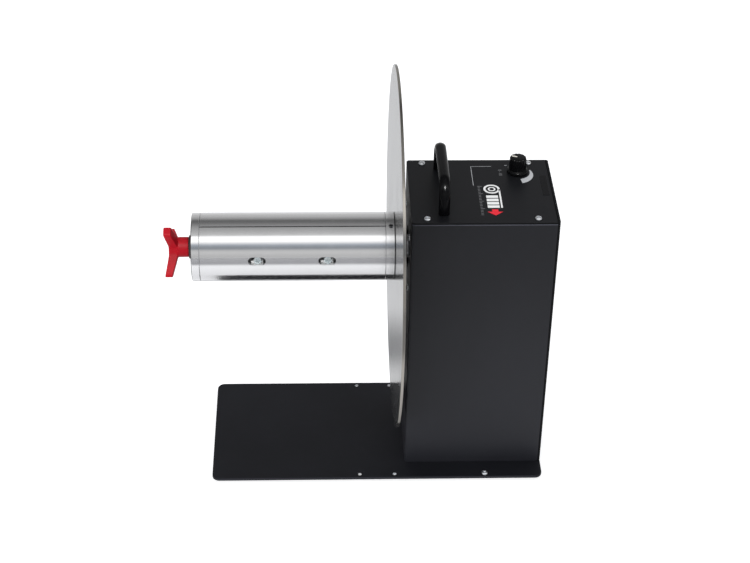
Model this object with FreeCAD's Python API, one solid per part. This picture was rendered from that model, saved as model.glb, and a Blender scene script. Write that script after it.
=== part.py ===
import FreeCAD, Part
import math
import os

# Label unwinder: a motor housing on a base plate carries a cantilevered spindle with a round
# flange disc and an expanding core chuck. A knob at the chuck's nose draws a wedge sleeve towards
# it, and the sleeve's ramps push three shells outwards into the core of a label roll.
#
# Millimetres. The spindle lies along X with the chuck towards -X, Z is up and the ground is at
# z = 0. The origin is on the ground under the spindle axis, midway between the nose of the clamp
# knob and the switch on the rear panel.

V = FreeCAD.Vector
ALONG_X = V(1, 0, 0)
ALONG_Y = V(0, 1, 0)
UP = V(0, 0, 1)

# Clearances: a fit between pieces of one group, a running fit, and a gap between plain faces
fit_gap = 0.02
running_gap = 0.05
plain_gap = 0.3

# Flange disc
disc_r = 200.0
disc_thickness = 3.0
disc_ground_gap = 59.6
disc_standoff = 11.9
disc_screw_circle_r = 26.0
hub_flange = 4.0
hub_rim = 3.0
hub_wall_gap = 1.5
hub_soft_edge = 0.9

# Base plate and feet
plate_thickness = 3.0
plate_reach = 221.7
plate_margin = 23.5
plate_offset = 3.0
plate_corner_r = 8.5
foot_height = 3.5
foot_r = 7.0
foot_taper = 1.0
foot_inset = 18.0

# Threaded inserts in the base plate, two rows beside the disc, and two screws beside the housing
insert_r = 2.7
insert_bore_r = 2.1
insert_edge = 5.7
insert_setback = 12.0
insert_pitch = 40.0
edge_screw_setback = 92.0

# Housing: a folded sheet wrap, closed by a top and a rear panel
sheet = 1.5
housing_width = 128.4
bend_r = 3.0
lip_width = 16.0
top_panel_thickness = 2.3
rear_panel_thickness = 3.0
rear_panel_edge_r = 2.2
roof_room = 20.0
belt_bay = 50.2
panel_screw_edge = 7.7
panel_screw_front = 16.8
panel_screw_rear = 23.2

# Button-head screws of the panels, and their hidden kin
screw_r = 2.0
screw_head_r = 3.75
screw_head_height = 2.2
screw_socket_r = 1.35
screw_socket_depth = 1.3
screw_reach = 8.0
set_screw_recess = 0.5

# Carry handle
handle_x = 35.0
handle_span = 93.6
handle_height = 39.6
handle_breadth = 12.0
handle_section = 8.8
handle_bend_r = 17.0
handle_screw_r = 2.0

# Spindle and bearings
shaft_r = 12.5
seat_r = 10.0
bearing_r = 26.0
bearing_width = 15.0
race_wall = 4.0
bearing_block = 84.0
bearing_flange = 6.0
bearing_lip = 2.0
bearing_boss_wall = 8.0
bearing_end_gap = 1.5
bearing_screw_edge = 9.0
race_soft_edge = 0.8
shaft_end_length = 6.0
shaft_end_chamfer = 1.0
clip_groove = 1.0
clip_thickness = 1.4
clip_rim = 3.0
clip_opening = 8.0

# Chuck: the windows' places are measured from the disc's face and from the nose
core_r = 38.0
shell_wall = 3.2
window_rear = 74.3
window_pitch = 76.4
window_front = 71.9
window_depth = 8.0
floor_thickness = 4.0
cap_length = 9.2
cap_web = 6.0
ring_length = 10.1
spigot_length = 6.0
nose_chamfer = 1.5
edge_chamfer = 0.4
slit_clearance = 0.3
ring_screw_x = 4.4
ring_screw_angle = 21.5
ring_screw_recess = 4.0
shell_angle = 81.6

# Chuck mechanism: how far the shells move in and out, and the slope of the ramps
collapse = 0.6
expand = 0.9
ramp_slope = 0.2
ramp_half = 17.0
pad_half = 15.0
pad_breadth = 20.0
slide_gap = 0.2
tube_step = 1.0
tube_wall = 4.5
stud_r = 6.0
pin_r = 4.0
nut_thread = 24.0
nut_wall = 4.0
nut_end_gap = 1.5
stud_end_gap = 2.0
stud_collar = 4.0

# Screws and disc springs that hold the shells down on the ramps
shell_screw_r = 2.0
shell_screw_head_r = 4.5
shell_screw_head_height = 2.8
shell_screw_slot_r = 1.2
shell_washer = 0.8
spring_height = 1.6
window_side_gap = 0.25
window_end_gap = 1.5

# Clamp knob with three swept arms
knob_hub_r = 11.2
knob_hub_length = 12.0
knob_boss_length = 10.5
knob_arm_r = 33.5
knob_arm_breadth = 12.0
knob_arm_sweep = 4.2
knob_tip_thickness = 8.2
knob_hollow_r = 9.0
knob_tip_r = 3.0
knob_edge_r = 1.2
knob_soft_edge = 0.8
knob_angle = 25.0
thrust_washer_r = 13.0
thrust_washer_thickness = 3.2

# Belt drive
belt_tooth_pitch = 5.0
driven_teeth = 60
motor_teeth = 20
tooth_r = 1.5
tip_drop = 0.57
belt_width = 15.0
belt_thickness = 2.2
pulley_flange = 1.5
pulley_lip = 2.5
pulley_gap = 4.0
belt_side_gap = 0.5

# Motor and its bracket
motor_rise = 117.0
motor_gap = 10.5
can_r = 29.0
can_length = 50.0
can_step = 3.0
gearbox_r = 31.0
gearbox_length = 38.0
motor_shaft_r = 5.0
motor_screw_circle_r = 24.0
bracket_thickness = 5.0
bracket_foot = 36.0
bracket_margin = 3.0
bracket_corner_r = 12.0

# Tension knob and its potentiometer
dial_from_rear = 36.7
dial_from_side = 25.7
dial_skirt_r = 11.6
dial_skirt_height = 4.5
dial_r = 8.8
dial_height = 19.0
dial_flutes = 12
dial_flute_r = 1.3
dial_edge = 1.6
dial_rest_angle = 24.0
dial_pointer_half = 0.8
dial_pointer_depth = 0.5
dial_bore_share = 0.8
pot_r = 8.0
pot_depth = 10.0
pot_shaft_r = 3.0
pot_bush_wall = 1.2
pot_nut_r = 5.8
pot_nut_height = 2.0
pot_bush_proud = 0.6

# Rocker switch and power inlet on the rear panel
switch_from_side = 36.2
switch_rise = 48.0
switch_length = 21.0
switch_breadth = 15.0
switch_depth = 18.0
switch_bezel = 2.0
switch_ledge = 1.0
switch_corner_r = 1.5
switch_wall = 1.8
rocker_r = 8.0
rocker_proud = 4.0
rocker_vee = 1.6
rocker_inset = 1.5
rocker_pin_r = 1.0
inlet_from_side = 40.2
inlet_r = 5.5
inlet_bore_r = 3.15
inlet_pin_r = 1.0
inlet_depth = 12.0
inlet_floor = 2.5
inlet_flange = 1.5
inlet_nut_thickness = 2.0

# Control board on the rear side wall
board_length = 50.0
board_height = 46.0
board_thickness = 1.6
board_standoff = 8.0
board_from_wall = 26.0
board_over_gearbox = 8.0
board_post_r = 3.0
board_hole_r = 1.6
board_post_inset = 4.0
board_part_height = 10.0
capacitor_r = 4.0

# Heights
plate_top = foot_height + plate_thickness
axis_z = plate_top + disc_ground_gap + disc_r
driven_tip_r = driven_teeth * belt_tooth_pitch / (2 * math.pi) - tip_drop
motor_tip_r = motor_teeth * belt_tooth_pitch / (2 * math.pi) - tip_drop
roof_z = axis_z + driven_tip_r + pulley_lip + roof_room
top_z = roof_z + top_panel_thickness
motor_z = plate_top + motor_rise

# Lengths along the spindle, and the places that follow from them
chuck_length = window_rear + window_pitch + window_front
knob_length = knob_hub_length + knob_boss_length + knob_arm_sweep
drive_length = motor_gap + can_length + gearbox_length + bracket_thickness + belt_bay
housing_length = sheet + drive_length + rear_panel_thickness
front_reach = (disc_standoff + disc_thickness + chuck_length + plain_gap
               + thrust_washer_thickness + knob_length)
rear_reach = housing_length + switch_bezel + rocker_proud
wall_x = (front_reach - rear_reach) / 2
inside_x = wall_x + sheet
bracket_x = inside_x + motor_gap + can_length + gearbox_length
pulley_x = bracket_x + bracket_thickness + pulley_gap
pulley_width = belt_width + 2 * (pulley_flange + belt_side_gap)
panel_x = wall_x + housing_length - rear_panel_thickness
rear_x = panel_x + rear_panel_thickness
disc_x = wall_x - disc_standoff - disc_thickness
ring_x = disc_x - ring_length
cap_x = disc_x - chuck_length
knob_x = cap_x - plain_gap - thrust_washer_thickness
half_width = housing_width / 2
inside_y = half_width - sheet
hub_x = disc_x + disc_thickness
hub_collar_x = hub_x + hub_flange
hub_end_x = wall_x - hub_wall_gap
hub_flange_r = disc_screw_circle_r + screw_head_r + hub_rim
hub_collar_r = disc_screw_circle_r - screw_head_r - hub_rim
rocker_x = rear_x + switch_bezel - rocker_inset
switch_inset = switch_ledge + fit_gap

# Chuck radii, from the core inwards, and the sleeve's travel
travel_in = collapse / ramp_slope
travel_out = expand / ramp_slope
slit = 2 * math.cos(math.radians(30)) * collapse + slit_clearance
shell_in_r = core_r - shell_wall
spigot_r = shell_in_r - collapse - plain_gap
floor_r = core_r - window_depth
ramp_r = floor_r - floor_thickness - slide_gap
tube_r = shaft_r + tube_step
bore_r = tube_r - tube_wall
sleeve_r = ramp_r - ramp_slope * ramp_half
corner_r = math.hypot(ramp_r + ramp_slope * ramp_half, pad_breadth / 2)
window_xs = [disc_x - window_rear, disc_x - window_rear - window_pitch]
screw_shift = (travel_out - travel_in) / 2
station_xs = [x + screw_shift for x in window_xs]
pin_x = sum(station_xs) / 2
window_breadth = 2 * (shell_screw_head_r + window_side_gap)
window_length = 2 * (shell_screw_head_r + window_end_gap) + travel_in + travel_out
spring_z = floor_r + expand + plain_gap / 2
screw_head_z = spring_z + spring_height + shell_washer


def spun(points):
    """Solid turned about the X axis from a closed outline of (x, radius) points."""
    outline = Part.makePolygon([V(x, 0, r) for x, r in points + points[:1]])
    return Part.Face(outline).revolve(V(0, 0, 0), ALONG_X, 360)


def spun_up(points, x=0, y=0):
    """Solid turned about a vertical axis at (x, y) from (radius, z) points."""
    outline = Part.makePolygon([V(x + r, y, z) for r, z in points + points[:1]])
    return Part.Face(outline).revolve(V(x, y, 0), UP, 360)


def rod(x0, x1, r, y=0, z=0):
    """Round bar along X."""
    return Part.makeCylinder(r, x1 - x0, V(x0, y, z), ALONG_X)


def post(x, y, z0, z1, r):
    """Round bar along Z."""
    return Part.makeCylinder(r, z1 - z0, V(x, y, z0), UP)


def block(x0, x1, y0, y1, z0, z1):
    """Plain box between two corners."""
    return Part.makeBox(x1 - x0, y1 - y0, z1 - z0, V(x0, y0, z0))


def rounded(shape, radius, direction, picked=None):
    """Fillets the straight edges that run along a direction, where picked(edge centre) is true."""
    edges = []
    for edge in shape.Edges:
        if not isinstance(edge.Curve, Part.Line):
            continue
        if abs(abs(edge.tangentAt(edge.FirstParameter).dot(direction)) - 1) > 1e-6:
            continue
        if picked is None or picked(edge.CenterOfMass):
            edges.append(edge)
    return shape.makeFillet(radius, edges)


def eased(shape, picked):
    """Chamfers the edges for which picked(edge centre) is true."""
    return shape.makeChamfer(edge_chamfer, [e for e in shape.Edges if picked(e.CenterOfMass)])


def hexagon(x, y, z0, z1, r):
    """Upright six-sided bar with its corners at radius r."""
    corners = [V(x + r * math.cos(math.radians(60 * k)), y + r * math.sin(math.radians(60 * k)), z0)
               for k in range(7)]
    return Part.Face(Part.makePolygon(corners)).extrude(V(0, 0, z1 - z0))


def slotted(x, length, breadth, z0, z1):
    """Upright solid with round ends, long along X, to cut a slot."""
    run = length / 2 - breadth / 2
    body = block(x - run, x + run, -breadth / 2, breadth / 2, z0, z1)
    return body.fuse([post(x - run, 0, z0, z1, breadth / 2), post(x + run, 0, z0, z1, breadth / 2)])


def about_spindle(shape, angle):
    """Turns a shape about the X axis by degrees, from +Z towards -Y."""
    turned = shape.copy()
    turned.rotate(V(0, 0, 0), ALONG_X, angle)
    return turned


def around(shape, count, first=0):
    """Copies of a shape at even steps about the X axis."""
    return [about_spindle(shape, first + 360 * k / count) for k in range(count)]


def on_axis(shape, z=axis_z):
    """Lifts a shape built about the X axis to its shaft's height."""
    lifted = shape.copy()
    lifted.translate(V(0, 0, z))
    return lifted


def corner_points(half_y, half_z):
    """The four corners of a rectangle in the YZ plane."""
    return [(sy * half_y, sz * half_z) for sy in (-1, 1) for sz in (-1, 1)]


# Positions of the fasteners
insert_ys = [sign * (half_width + plate_margin - insert_edge) - plate_offset for sign in (-1, 1)]
insert_xs = [wall_x - insert_setback, wall_x - insert_setback - insert_pitch]
top_screws = [(x, sign * (half_width - panel_screw_edge))
              for x in (wall_x + panel_screw_front, rear_x - panel_screw_rear) for sign in (-1, 1)]
handle_y = handle_span / 2
handle_screws = [(wall_x + handle_x, sign * handle_y) for sign in (-1, 1)]
base_screws = [(x, sign * (half_width - lip_width / 2))
               for x in (wall_x + lip_width, panel_x - lip_width) for sign in (-1, 1)]
bracket_screws = [(bracket_x - bracket_foot / 2, sign * half_width / 3) for sign in (-1, 1)]
rear_screw_y = half_width - lip_width / 2
rear_screw_zs = [plate_top + lip_width, (plate_top + roof_z) / 2, roof_z - lip_width]
bearing_screws = corner_points(bearing_block / 2 - bearing_screw_edge,
                               bearing_block / 2 - bearing_screw_edge)
motor_screws = [(motor_screw_circle_r * math.cos(math.radians(45 + 90 * k)),
                 motor_screw_circle_r * math.sin(math.radians(45 + 90 * k))) for k in range(4)]
dial_x = rear_x - dial_from_rear
dial_y = half_width - dial_from_side
switch_y = half_width - switch_from_side
switch_z = plate_top + switch_rise
inlet_y = inlet_from_side - half_width


# Base

def base_plate():
    """Flat plate with round corners, insert and screw holes."""
    y0 = -half_width - plate_margin - plate_offset
    y1 = half_width + plate_margin - plate_offset
    plate = block(wall_x - plate_reach, rear_x, y0, y1, foot_height, plate_top)
    plate = rounded(plate, plate_corner_r, UP)
    plate = eased(plate, lambda c: c.z > plate_top - edge_chamfer)
    cuts = [post(x, y, foot_height, plate_top, insert_r + fit_gap)
            for x in insert_xs for y in insert_ys]
    cuts += [post(wall_x + edge_screw_setback, y, foot_height, plate_top, screw_r + fit_gap)
             for y in insert_ys]
    for x, y in base_screws + bracket_screws:
        cuts.append(base_screw(x, y, plate_thickness, fit_gap))
    return plate.cut(cuts)


def base_screw(x, y, reach, grow=0.0):
    """Countersunk screw up through the plate, or its hole where it is to grow."""
    screw = sunk_screw(reach, grow)
    screw.translate(V(x, y, foot_height))
    return screw


def base_fasteners():
    """Countersunk screws that hold the housing and the motor bracket."""
    housing = [base_screw(x, y, plate_thickness + sheet) for x, y in base_screws]
    bracket = [base_screw(x, y, plate_thickness + bracket_thickness) for x, y in bracket_screws]
    return Part.Compound(housing + bracket)


def plate_inserts():
    """Flush threaded inserts in the base plate."""
    return Part.Compound([
        post(x, y, foot_height, plate_top, insert_r).cut(
            post(x, y, foot_height, plate_top, insert_bore_r))
        for x in insert_xs for y in insert_ys])


def edge_screws():
    """Pan-head screws in the plate's two edges beside the housing."""
    return Part.Compound([button_screw(plate_thickness, wall_x + edge_screw_setback, y, plate_top)
                          for y in insert_ys])


def rubber_feet():
    """Tapered bumpers under the plate's corners."""
    y0 = -half_width - plate_margin - plate_offset + foot_inset
    y1 = half_width + plate_margin - plate_offset - foot_inset
    feet = []
    for x in (wall_x - plate_reach + foot_inset, rear_x - foot_inset):
        for y in (y0, y1):
            feet.append(spun_up([(0, 0), (foot_r - foot_taper, 0), (foot_r, foot_taper),
                                 (foot_r, foot_height), (0, foot_height)], x, y))
    return Part.Compound(feet)


# Screws

def sunk_screw(reach, grow=0.0):
    """Countersunk screw that points up from its head's face at the origin, or its hole."""
    head = screw_head_r + grow
    shank = screw_r + grow
    body = spun_up([(0, 0), (head, 0), (shank, head - shank), (shank, reach), (0, reach)])
    if grow:
        return body
    return body.cut(hexagon(0, 0, 0, screw_socket_depth, screw_socket_r))


def button_screw(reach, x, y, z):
    """Upright button-head screw with a hexagon socket, its head seated at height z."""
    head_top = z + screw_head_height
    body = spun_up([(0, z - reach), (screw_r, z - reach), (screw_r, z), (screw_head_r, z),
                    (screw_head_r, z + 0.4 * screw_head_height),
                    (0.85 * screw_head_r, z + 0.75 * screw_head_height),
                    (0.55 * screw_head_r, head_top), (0, head_top)], x, y)
    return body.cut(hexagon(x, y, head_top - screw_socket_depth, head_top, screw_socket_r))


def side_screw(reach, x, y, z, facing):
    """The same screw along X, its head's seat at x and its head towards facing (+1 or -1)."""
    screw = button_screw(reach, 0, 0, 0)
    screw.rotate(V(0, 0, 0), ALONG_Y, 90 * facing)
    screw.translate(V(x, y, z))
    return screw


# Housing

def housing_shell():
    """Sheet wrap with lips for the panels, open at the top, bottom and rear."""
    outer = block(wall_x, panel_x, -half_width, half_width, plate_top, roof_z)
    outer = rounded(outer, bend_r, UP, lambda c: c.x < wall_x + 1)
    inner = block(inside_x, panel_x - sheet, -inside_y, inside_y, plate_top + sheet, roof_z - sheet)
    inner = rounded(inner, bend_r - sheet, UP, lambda c: c.x < inside_x + 1)
    lip_y = half_width - lip_width
    openings = [
        block(wall_x + lip_width, panel_x - lip_width, -lip_y, lip_y, plate_top, roof_z),
        block(panel_x - lip_width, panel_x, -lip_y, lip_y, plate_top + lip_width,
              roof_z - lip_width),
        rod(wall_x, inside_x, bearing_r - bearing_lip, 0, axis_z)]
    holes = [rod(wall_x, inside_x, screw_r + fit_gap, y, axis_z + z) for y, z in bearing_screws]
    holes += [post(x, y, roof_z - sheet, roof_z, screw_r + fit_gap) for x, y in top_screws]
    holes += [post(x, y, roof_z - sheet, roof_z, handle_screw_r + fit_gap)
              for x, y in handle_screws]
    holes += [post(x, y, plate_top, plate_top + sheet, screw_r + fit_gap) for x, y in base_screws]
    holes += [rod(panel_x - sheet, panel_x, screw_r + fit_gap, sign * rear_screw_y, z)
              for z in rear_screw_zs for sign in (-1, 1)]
    return outer.cut([inner] + openings + holes)


def top_panel():
    """Flat cover with round front corners, drilled for screws, handle and dial."""
    panel = block(wall_x, panel_x, -half_width, half_width, roof_z, top_z)
    panel = rounded(panel, bend_r, UP, lambda c: c.x < wall_x + 1)
    panel = eased(panel, lambda c: min(c.z - roof_z, top_z - c.z) < edge_chamfer)
    holes = [post(x, y, roof_z, top_z, screw_r + fit_gap) for x, y in top_screws]
    holes += [post(x, y, roof_z, top_z, handle_screw_r + fit_gap) for x, y in handle_screws]
    holes.append(post(dial_x, dial_y, roof_z, top_z, pot_shaft_r + pot_bush_wall + fit_gap))
    return panel.cut(holes)


def top_panel_screws():
    """Four button-head screws in the top panel."""
    reach = top_panel_thickness + sheet
    return Part.Compound([button_screw(reach, x, y, top_z) for x, y in top_screws])


def rear_panel():
    """Flat rear cover with the cut-outs of the switch and the inlet."""
    panel = block(panel_x, rear_x, -half_width, half_width, plate_top, top_z)
    panel = rounded(panel, rear_panel_edge_r, UP, lambda c: c.x > rear_x - 1)
    panel = eased(panel, lambda c: c.x > panel_x + edge_chamfer
                  and min(c.z - plate_top, top_z - c.z) < edge_chamfer)
    cuts = [rear_screw(sign * rear_screw_y, z, rear_panel_thickness, fit_gap)
            for z in rear_screw_zs for sign in (-1, 1)]
    half_l = switch_length / 2 - switch_ledge
    half_b = switch_breadth / 2 - switch_ledge
    cuts.append(block(panel_x, rear_x, switch_y - half_b, switch_y + half_b,
                      switch_z - half_l, switch_z + half_l))
    cuts.append(rod(panel_x, rear_x, inlet_r + fit_gap, inlet_y, switch_z))
    return panel.cut(cuts)


def rear_screw(y, z, reach, grow=0.0):
    """Countersunk screw in the rear panel, or its hole where it is to grow."""
    screw = sunk_screw(reach, grow)
    screw.rotate(V(0, 0, 0), ALONG_Y, -90)
    screw.translate(V(rear_x, y, z))
    return screw


def rear_panel_screws():
    """Six flush screws in the rear panel."""
    reach = rear_panel_thickness + sheet
    return Part.Compound([rear_screw(sign * rear_screw_y, z, reach)
                          for z in rear_screw_zs for sign in (-1, 1)])


def carry_handle():
    """Bow handle of oval section whose two legs stand on the top panel."""
    x = wall_x + handle_x
    crown_z = top_z + handle_height - handle_section / 2
    bend = handle_bend_r
    lean = bend * (1 - math.cos(math.radians(45)))
    left = [V(x, -handle_y, top_z), V(x, -handle_y, crown_z - bend),
            V(x, -handle_y + lean, crown_z - lean), V(x, -handle_y + bend, crown_z)]
    right = [V(x, -p.y, p.z) for p in left]
    path = Part.Wire([
        Part.LineSegment(left[0], left[1]).toShape(), Part.Arc(*left[1:]).toShape(),
        Part.LineSegment(left[3], right[3]).toShape(),
        Part.Arc(right[3], right[2], right[1]).toShape(),
        Part.LineSegment(right[1], right[0]).toShape()])
    oval = Part.Ellipse(V(0, 0, 0), handle_breadth / 2, handle_section / 2).toShape()
    oval.translate(left[0])
    bow = path.makePipeShell([Part.Wire(oval)], True, False)
    return bow.cut([post(x, y, top_z, top_z + screw_reach, handle_screw_r + fit_gap)
                    for x, y in handle_screws])


def handle_fasteners():
    """Two pan-head screws that hold the handle from inside the housing."""
    seat = roof_z - sheet
    return Part.Compound([
        spun_up([(0, top_z + screw_reach), (handle_screw_r, top_z + screw_reach),
                 (handle_screw_r, seat), (2 * handle_screw_r, seat),
                 (1.8 * handle_screw_r, seat - handle_screw_r), (0, seat - handle_screw_r)], x, y)
        for x, y in handle_screws])


# Spindle, with the pieces that turn with it

def spindle_shaft():
    """Stepped shaft: a slotted tube inside the chuck, then solid through both bearings."""
    front = cap_x + cap_web
    bore_end = pin_x + pin_r + nut_wall + travel_in + nut_end_gap
    step = pulley_x - shaft_end_chamfer
    end = pulley_x + pulley_width + shaft_end_length
    groove = pulley_x + pulley_width + fit_gap
    groove_r = seat_r - clip_groove
    groove_end = groove + clip_thickness + plain_gap
    shaft = spun([
        (front, bore_r), (front, tube_r), (ring_x, tube_r), (ring_x, shaft_r), (step, shaft_r),
        (step, seat_r), (groove, seat_r), (groove, groove_r), (groove_end, groove_r),
        (groove_end, seat_r), (end - shaft_end_chamfer, seat_r),
        (end, seat_r - shaft_end_chamfer), (end, 0),
        (bore_end + bore_r / 2, 0), (bore_end, bore_r)])
    slot_length = 2 * pin_r + travel_in + travel_out + 2 * plain_gap
    slot_x = pin_x - screw_shift
    slot = slotted(slot_x, slot_length, 2 * (pin_r + plain_gap), -tube_r - 1, tube_r + 1)
    return on_axis(about_spindle(shaft.cut(slot), shell_angle))


def shaft_clip():
    """Open retaining ring behind the driven pulley."""
    x = pulley_x + pulley_width + 2 * fit_gap
    x1 = x + clip_thickness
    ring = rod(x, x1, seat_r + clip_rim).cut(rod(x, x1, seat_r - clip_groove + fit_gap))
    half = clip_opening / 2
    return on_axis(ring.cut(block(x, x1, -half, half, -seat_r - clip_rim, 0)))


def bearing_places():
    """Start of each bearing's flange, and the way it faces along X."""
    return [(inside_x, 1), (bracket_x, -1)]


def bearing_rings(inner_r, outer_r):
    """A pair of plain rings in the two bearings' seats."""
    rings = []
    for x, way in bearing_places():
        near = x + way * bearing_lip
        far = near + way * bearing_width
        x0, x1 = sorted((near, far))
        soft = race_soft_edge
        ring = spun([(x0, inner_r), (x0, outer_r - soft), (x0 + soft, outer_r),
                     (x1 - soft, outer_r), (x1, outer_r - soft), (x1, inner_r)])
        rings.append(on_axis(ring))
    return Part.Compound(rings)


def bearing_inner_rings():
    """Inner rings, on the shaft."""
    return bearing_rings(shaft_r + fit_gap, shaft_r + race_wall)


def bearing_outer_rings():
    """Outer rings with their shields, which close the gap to the inner rings."""
    return bearing_rings(shaft_r + race_wall + plain_gap, bearing_r)


def bearing_housing(x, way):
    """Square flange with a round boss that holds one bearing."""
    deep = bearing_lip + bearing_width + bearing_end_gap
    boss_r = bearing_r + bearing_boss_wall
    x0, x1 = sorted((x, x + way * bearing_flange))
    half = bearing_block / 2
    flange = rounded(block(x0, x1, -half, half, -half, half), bearing_screw_edge, ALONG_X)
    b0, b1 = sorted((x, x + way * deep))
    p0, p1 = sorted((x + way * bearing_lip, x + way * deep))
    body = flange.fuse(rod(b0, b1, boss_r))
    cuts = [rod(p0, p1, bearing_r + fit_gap), rod(b0, b1, bearing_r - bearing_lip)]
    cuts += [rod(x0, x1, screw_r + fit_gap, y, z) for y, z in bearing_screws]
    return on_axis(body.cut(cuts))


def bearing_screw_set():
    """Screws of both bearing housings, heads outside the wall and behind the bracket."""
    front = [side_screw(sheet + bearing_flange, wall_x, y, axis_z + z, -1)
             for y, z in bearing_screws]
    back = bracket_x + bracket_thickness
    rear = [side_screw(bracket_thickness + bearing_flange, back, y, axis_z + z, 1)
            for y, z in bearing_screws]
    return Part.Compound(front + rear)


def disc_screw_places():
    """The three screws that clamp the disc, clear of the ring's set screw."""
    return [ring_screw_angle + 60 + 120 * k for k in range(3)]


def disc_screw_tool(x0, x1):
    """Cylinders on the disc's screw circle, to cut its holes."""
    hole = rod(x0, x1, screw_r + fit_gap, 0, disc_screw_circle_r)
    return [about_spindle(hole, angle) for angle in disc_screw_places()]


def flange_disc():
    """Round disc with softened rim and its centre holes."""
    x0 = disc_x
    x1 = disc_x + disc_thickness
    disc = spun([(x0, shaft_r + fit_gap), (x0, disc_r - edge_chamfer), (x0 + edge_chamfer, disc_r),
                 (x1 - edge_chamfer, disc_r), (x1, disc_r - edge_chamfer),
                 (x1, shaft_r + fit_gap)])
    return on_axis(disc.cut(disc_screw_tool(x0, x1)))


def disc_hub():
    """Flanged collar behind the disc, held to the shaft by a set screw."""
    soft = hub_soft_edge
    bore = shaft_r + fit_gap
    hub = spun([
        (hub_x, bore), (hub_x, hub_flange_r), (hub_collar_x - soft, hub_flange_r),
        (hub_collar_x, hub_flange_r - soft), (hub_collar_x, hub_collar_r),
        (hub_end_x - soft, hub_collar_r), (hub_end_x, hub_collar_r - soft), (hub_end_x, bore)])
    cuts = disc_screw_tool(hub_x, hub_collar_x)
    cuts.append(set_screw((hub_collar_x + hub_end_x) / 2, hub_collar_r, 0, fit_gap))
    return on_axis(hub.cut(cuts))


def disc_screws():
    """Three screws through the hub and the disc into the chuck's rear ring."""
    reach = hub_collar_x - disc_x + ring_length / 2
    screw = side_screw(reach, hub_collar_x, 0, disc_screw_circle_r, 1)
    return on_axis(Part.Compound([about_spindle(screw, a) for a in disc_screw_places()]))


def set_screw(x, out_r, angle, grow=0.0, in_r=shaft_r):
    """Socket set screw that bears on the shaft, or its hole where it is to grow."""
    low = in_r + fit_gap - 2 * grow
    screw = post(x, 0, low, out_r, screw_r + grow)
    if not grow:
        screw = screw.cut(post(x, 0, out_r - screw_r, out_r, screw_r / 2))
    return about_spindle(screw, angle)


def set_screws():
    """Set screws of the chuck's ring and cap and of the hub."""
    screws = [
        set_screw(disc_x - ring_screw_x, core_r - ring_screw_recess, ring_screw_angle),
        set_screw(cap_x + cap_length + spigot_length / 2, spigot_r - set_screw_recess,
                  shell_angle, 0, tube_r),
        set_screw((hub_collar_x + hub_end_x) / 2, hub_collar_r - set_screw_recess, 0)]
    return on_axis(Part.Compound(screws))


def chuck_rear_ring():
    """Fixed ring against the disc, with a spigot under the shells' ends."""
    x0 = ring_x - spigot_length
    bore = tube_r + fit_gap
    ring = spun([
        (x0, bore), (x0, spigot_r), (ring_x, spigot_r), (ring_x, core_r - edge_chamfer),
        (ring_x + edge_chamfer, core_r), (disc_x - edge_chamfer, core_r),
        (disc_x, core_r - edge_chamfer), (disc_x, shaft_r + fit_gap),
        (ring_x, shaft_r + fit_gap), (ring_x, bore)])
    cuts = disc_screw_tool(disc_x - ring_length / 2 - plain_gap, disc_x)
    cuts.append(set_screw(disc_x - ring_screw_x, core_r, ring_screw_angle, fit_gap))
    return on_axis(ring.cut(cuts))


def chuck_front_cap():
    """Nose of the chuck: a web that takes the stud's thrust and a spigot under the shells."""
    back = cap_x + cap_length
    end = back + spigot_length
    web = cap_x + cap_web
    hole = stud_r + plain_gap
    bore = tube_r + fit_gap
    cap = spun([
        (cap_x, hole), (cap_x, core_r - nose_chamfer), (cap_x + nose_chamfer, core_r),
        (back - edge_chamfer, core_r), (back, core_r - edge_chamfer), (back, spigot_r),
        (end, spigot_r), (end, bore), (web, bore), (web, hole)])
    screw = set_screw(back + spigot_length / 2, spigot_r, shell_angle, fit_gap, tube_r)
    return on_axis(cap.cut(screw))


# Wedge sleeve, with the pieces that slide with it

def ramp_block(x):
    """Three flat ramps that rise towards +X, one under each shell."""
    triangles = []
    for end in (x - ramp_half, x + ramp_half):
        out = 2 * (ramp_r + ramp_slope * (end - x))
        corners = [V(end, out * math.sin(math.radians(a)), out * math.cos(math.radians(a)))
                   for a in (60, 180, 300, 420)]
        triangles.append(Part.makePolygon(corners))
    return Part.makeLoft(triangles, True, True).common(
        rod(x - ramp_half, x + ramp_half, corner_r))


def wedge_sleeve():
    """Sleeve on the shaft's tube with two sets of ramps."""
    start = min(station_xs) - ramp_half
    end = max(station_xs) + ramp_half
    body = rod(start, end, sleeve_r).fuse([ramp_block(x) for x in station_xs])
    cuts = [rod(start, end, tube_r + running_gap),
            post(pin_x, 0, -sleeve_r, sleeve_r, pin_r + fit_gap)]
    low = (ramp_r + tube_r) / 2
    for x in station_xs:
        cuts += around(post(x, 0, low, corner_r, shell_screw_r + fit_gap), 3)
    return on_axis(about_spindle(body.cut(cuts), shell_angle))


def draw_nut():
    """Nut inside the shaft's tube, drilled across for the pin."""
    start = pin_x - pin_r - nut_wall - nut_thread
    end = pin_x + pin_r + nut_wall
    nut = rod(start, end, bore_r - running_gap).cut([
        rod(start, start + nut_thread, stud_r + running_gap),
        post(pin_x, 0, -bore_r, bore_r, pin_r + fit_gap)])
    return on_axis(about_spindle(nut, shell_angle))


def cross_pin():
    """Pin that carries the nut's pull out to the sleeve through the shaft's slots."""
    pin = post(pin_x, 0, plain_gap - sleeve_r, sleeve_r - plain_gap, pin_r)
    return on_axis(about_spindle(pin, shell_angle))


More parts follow.
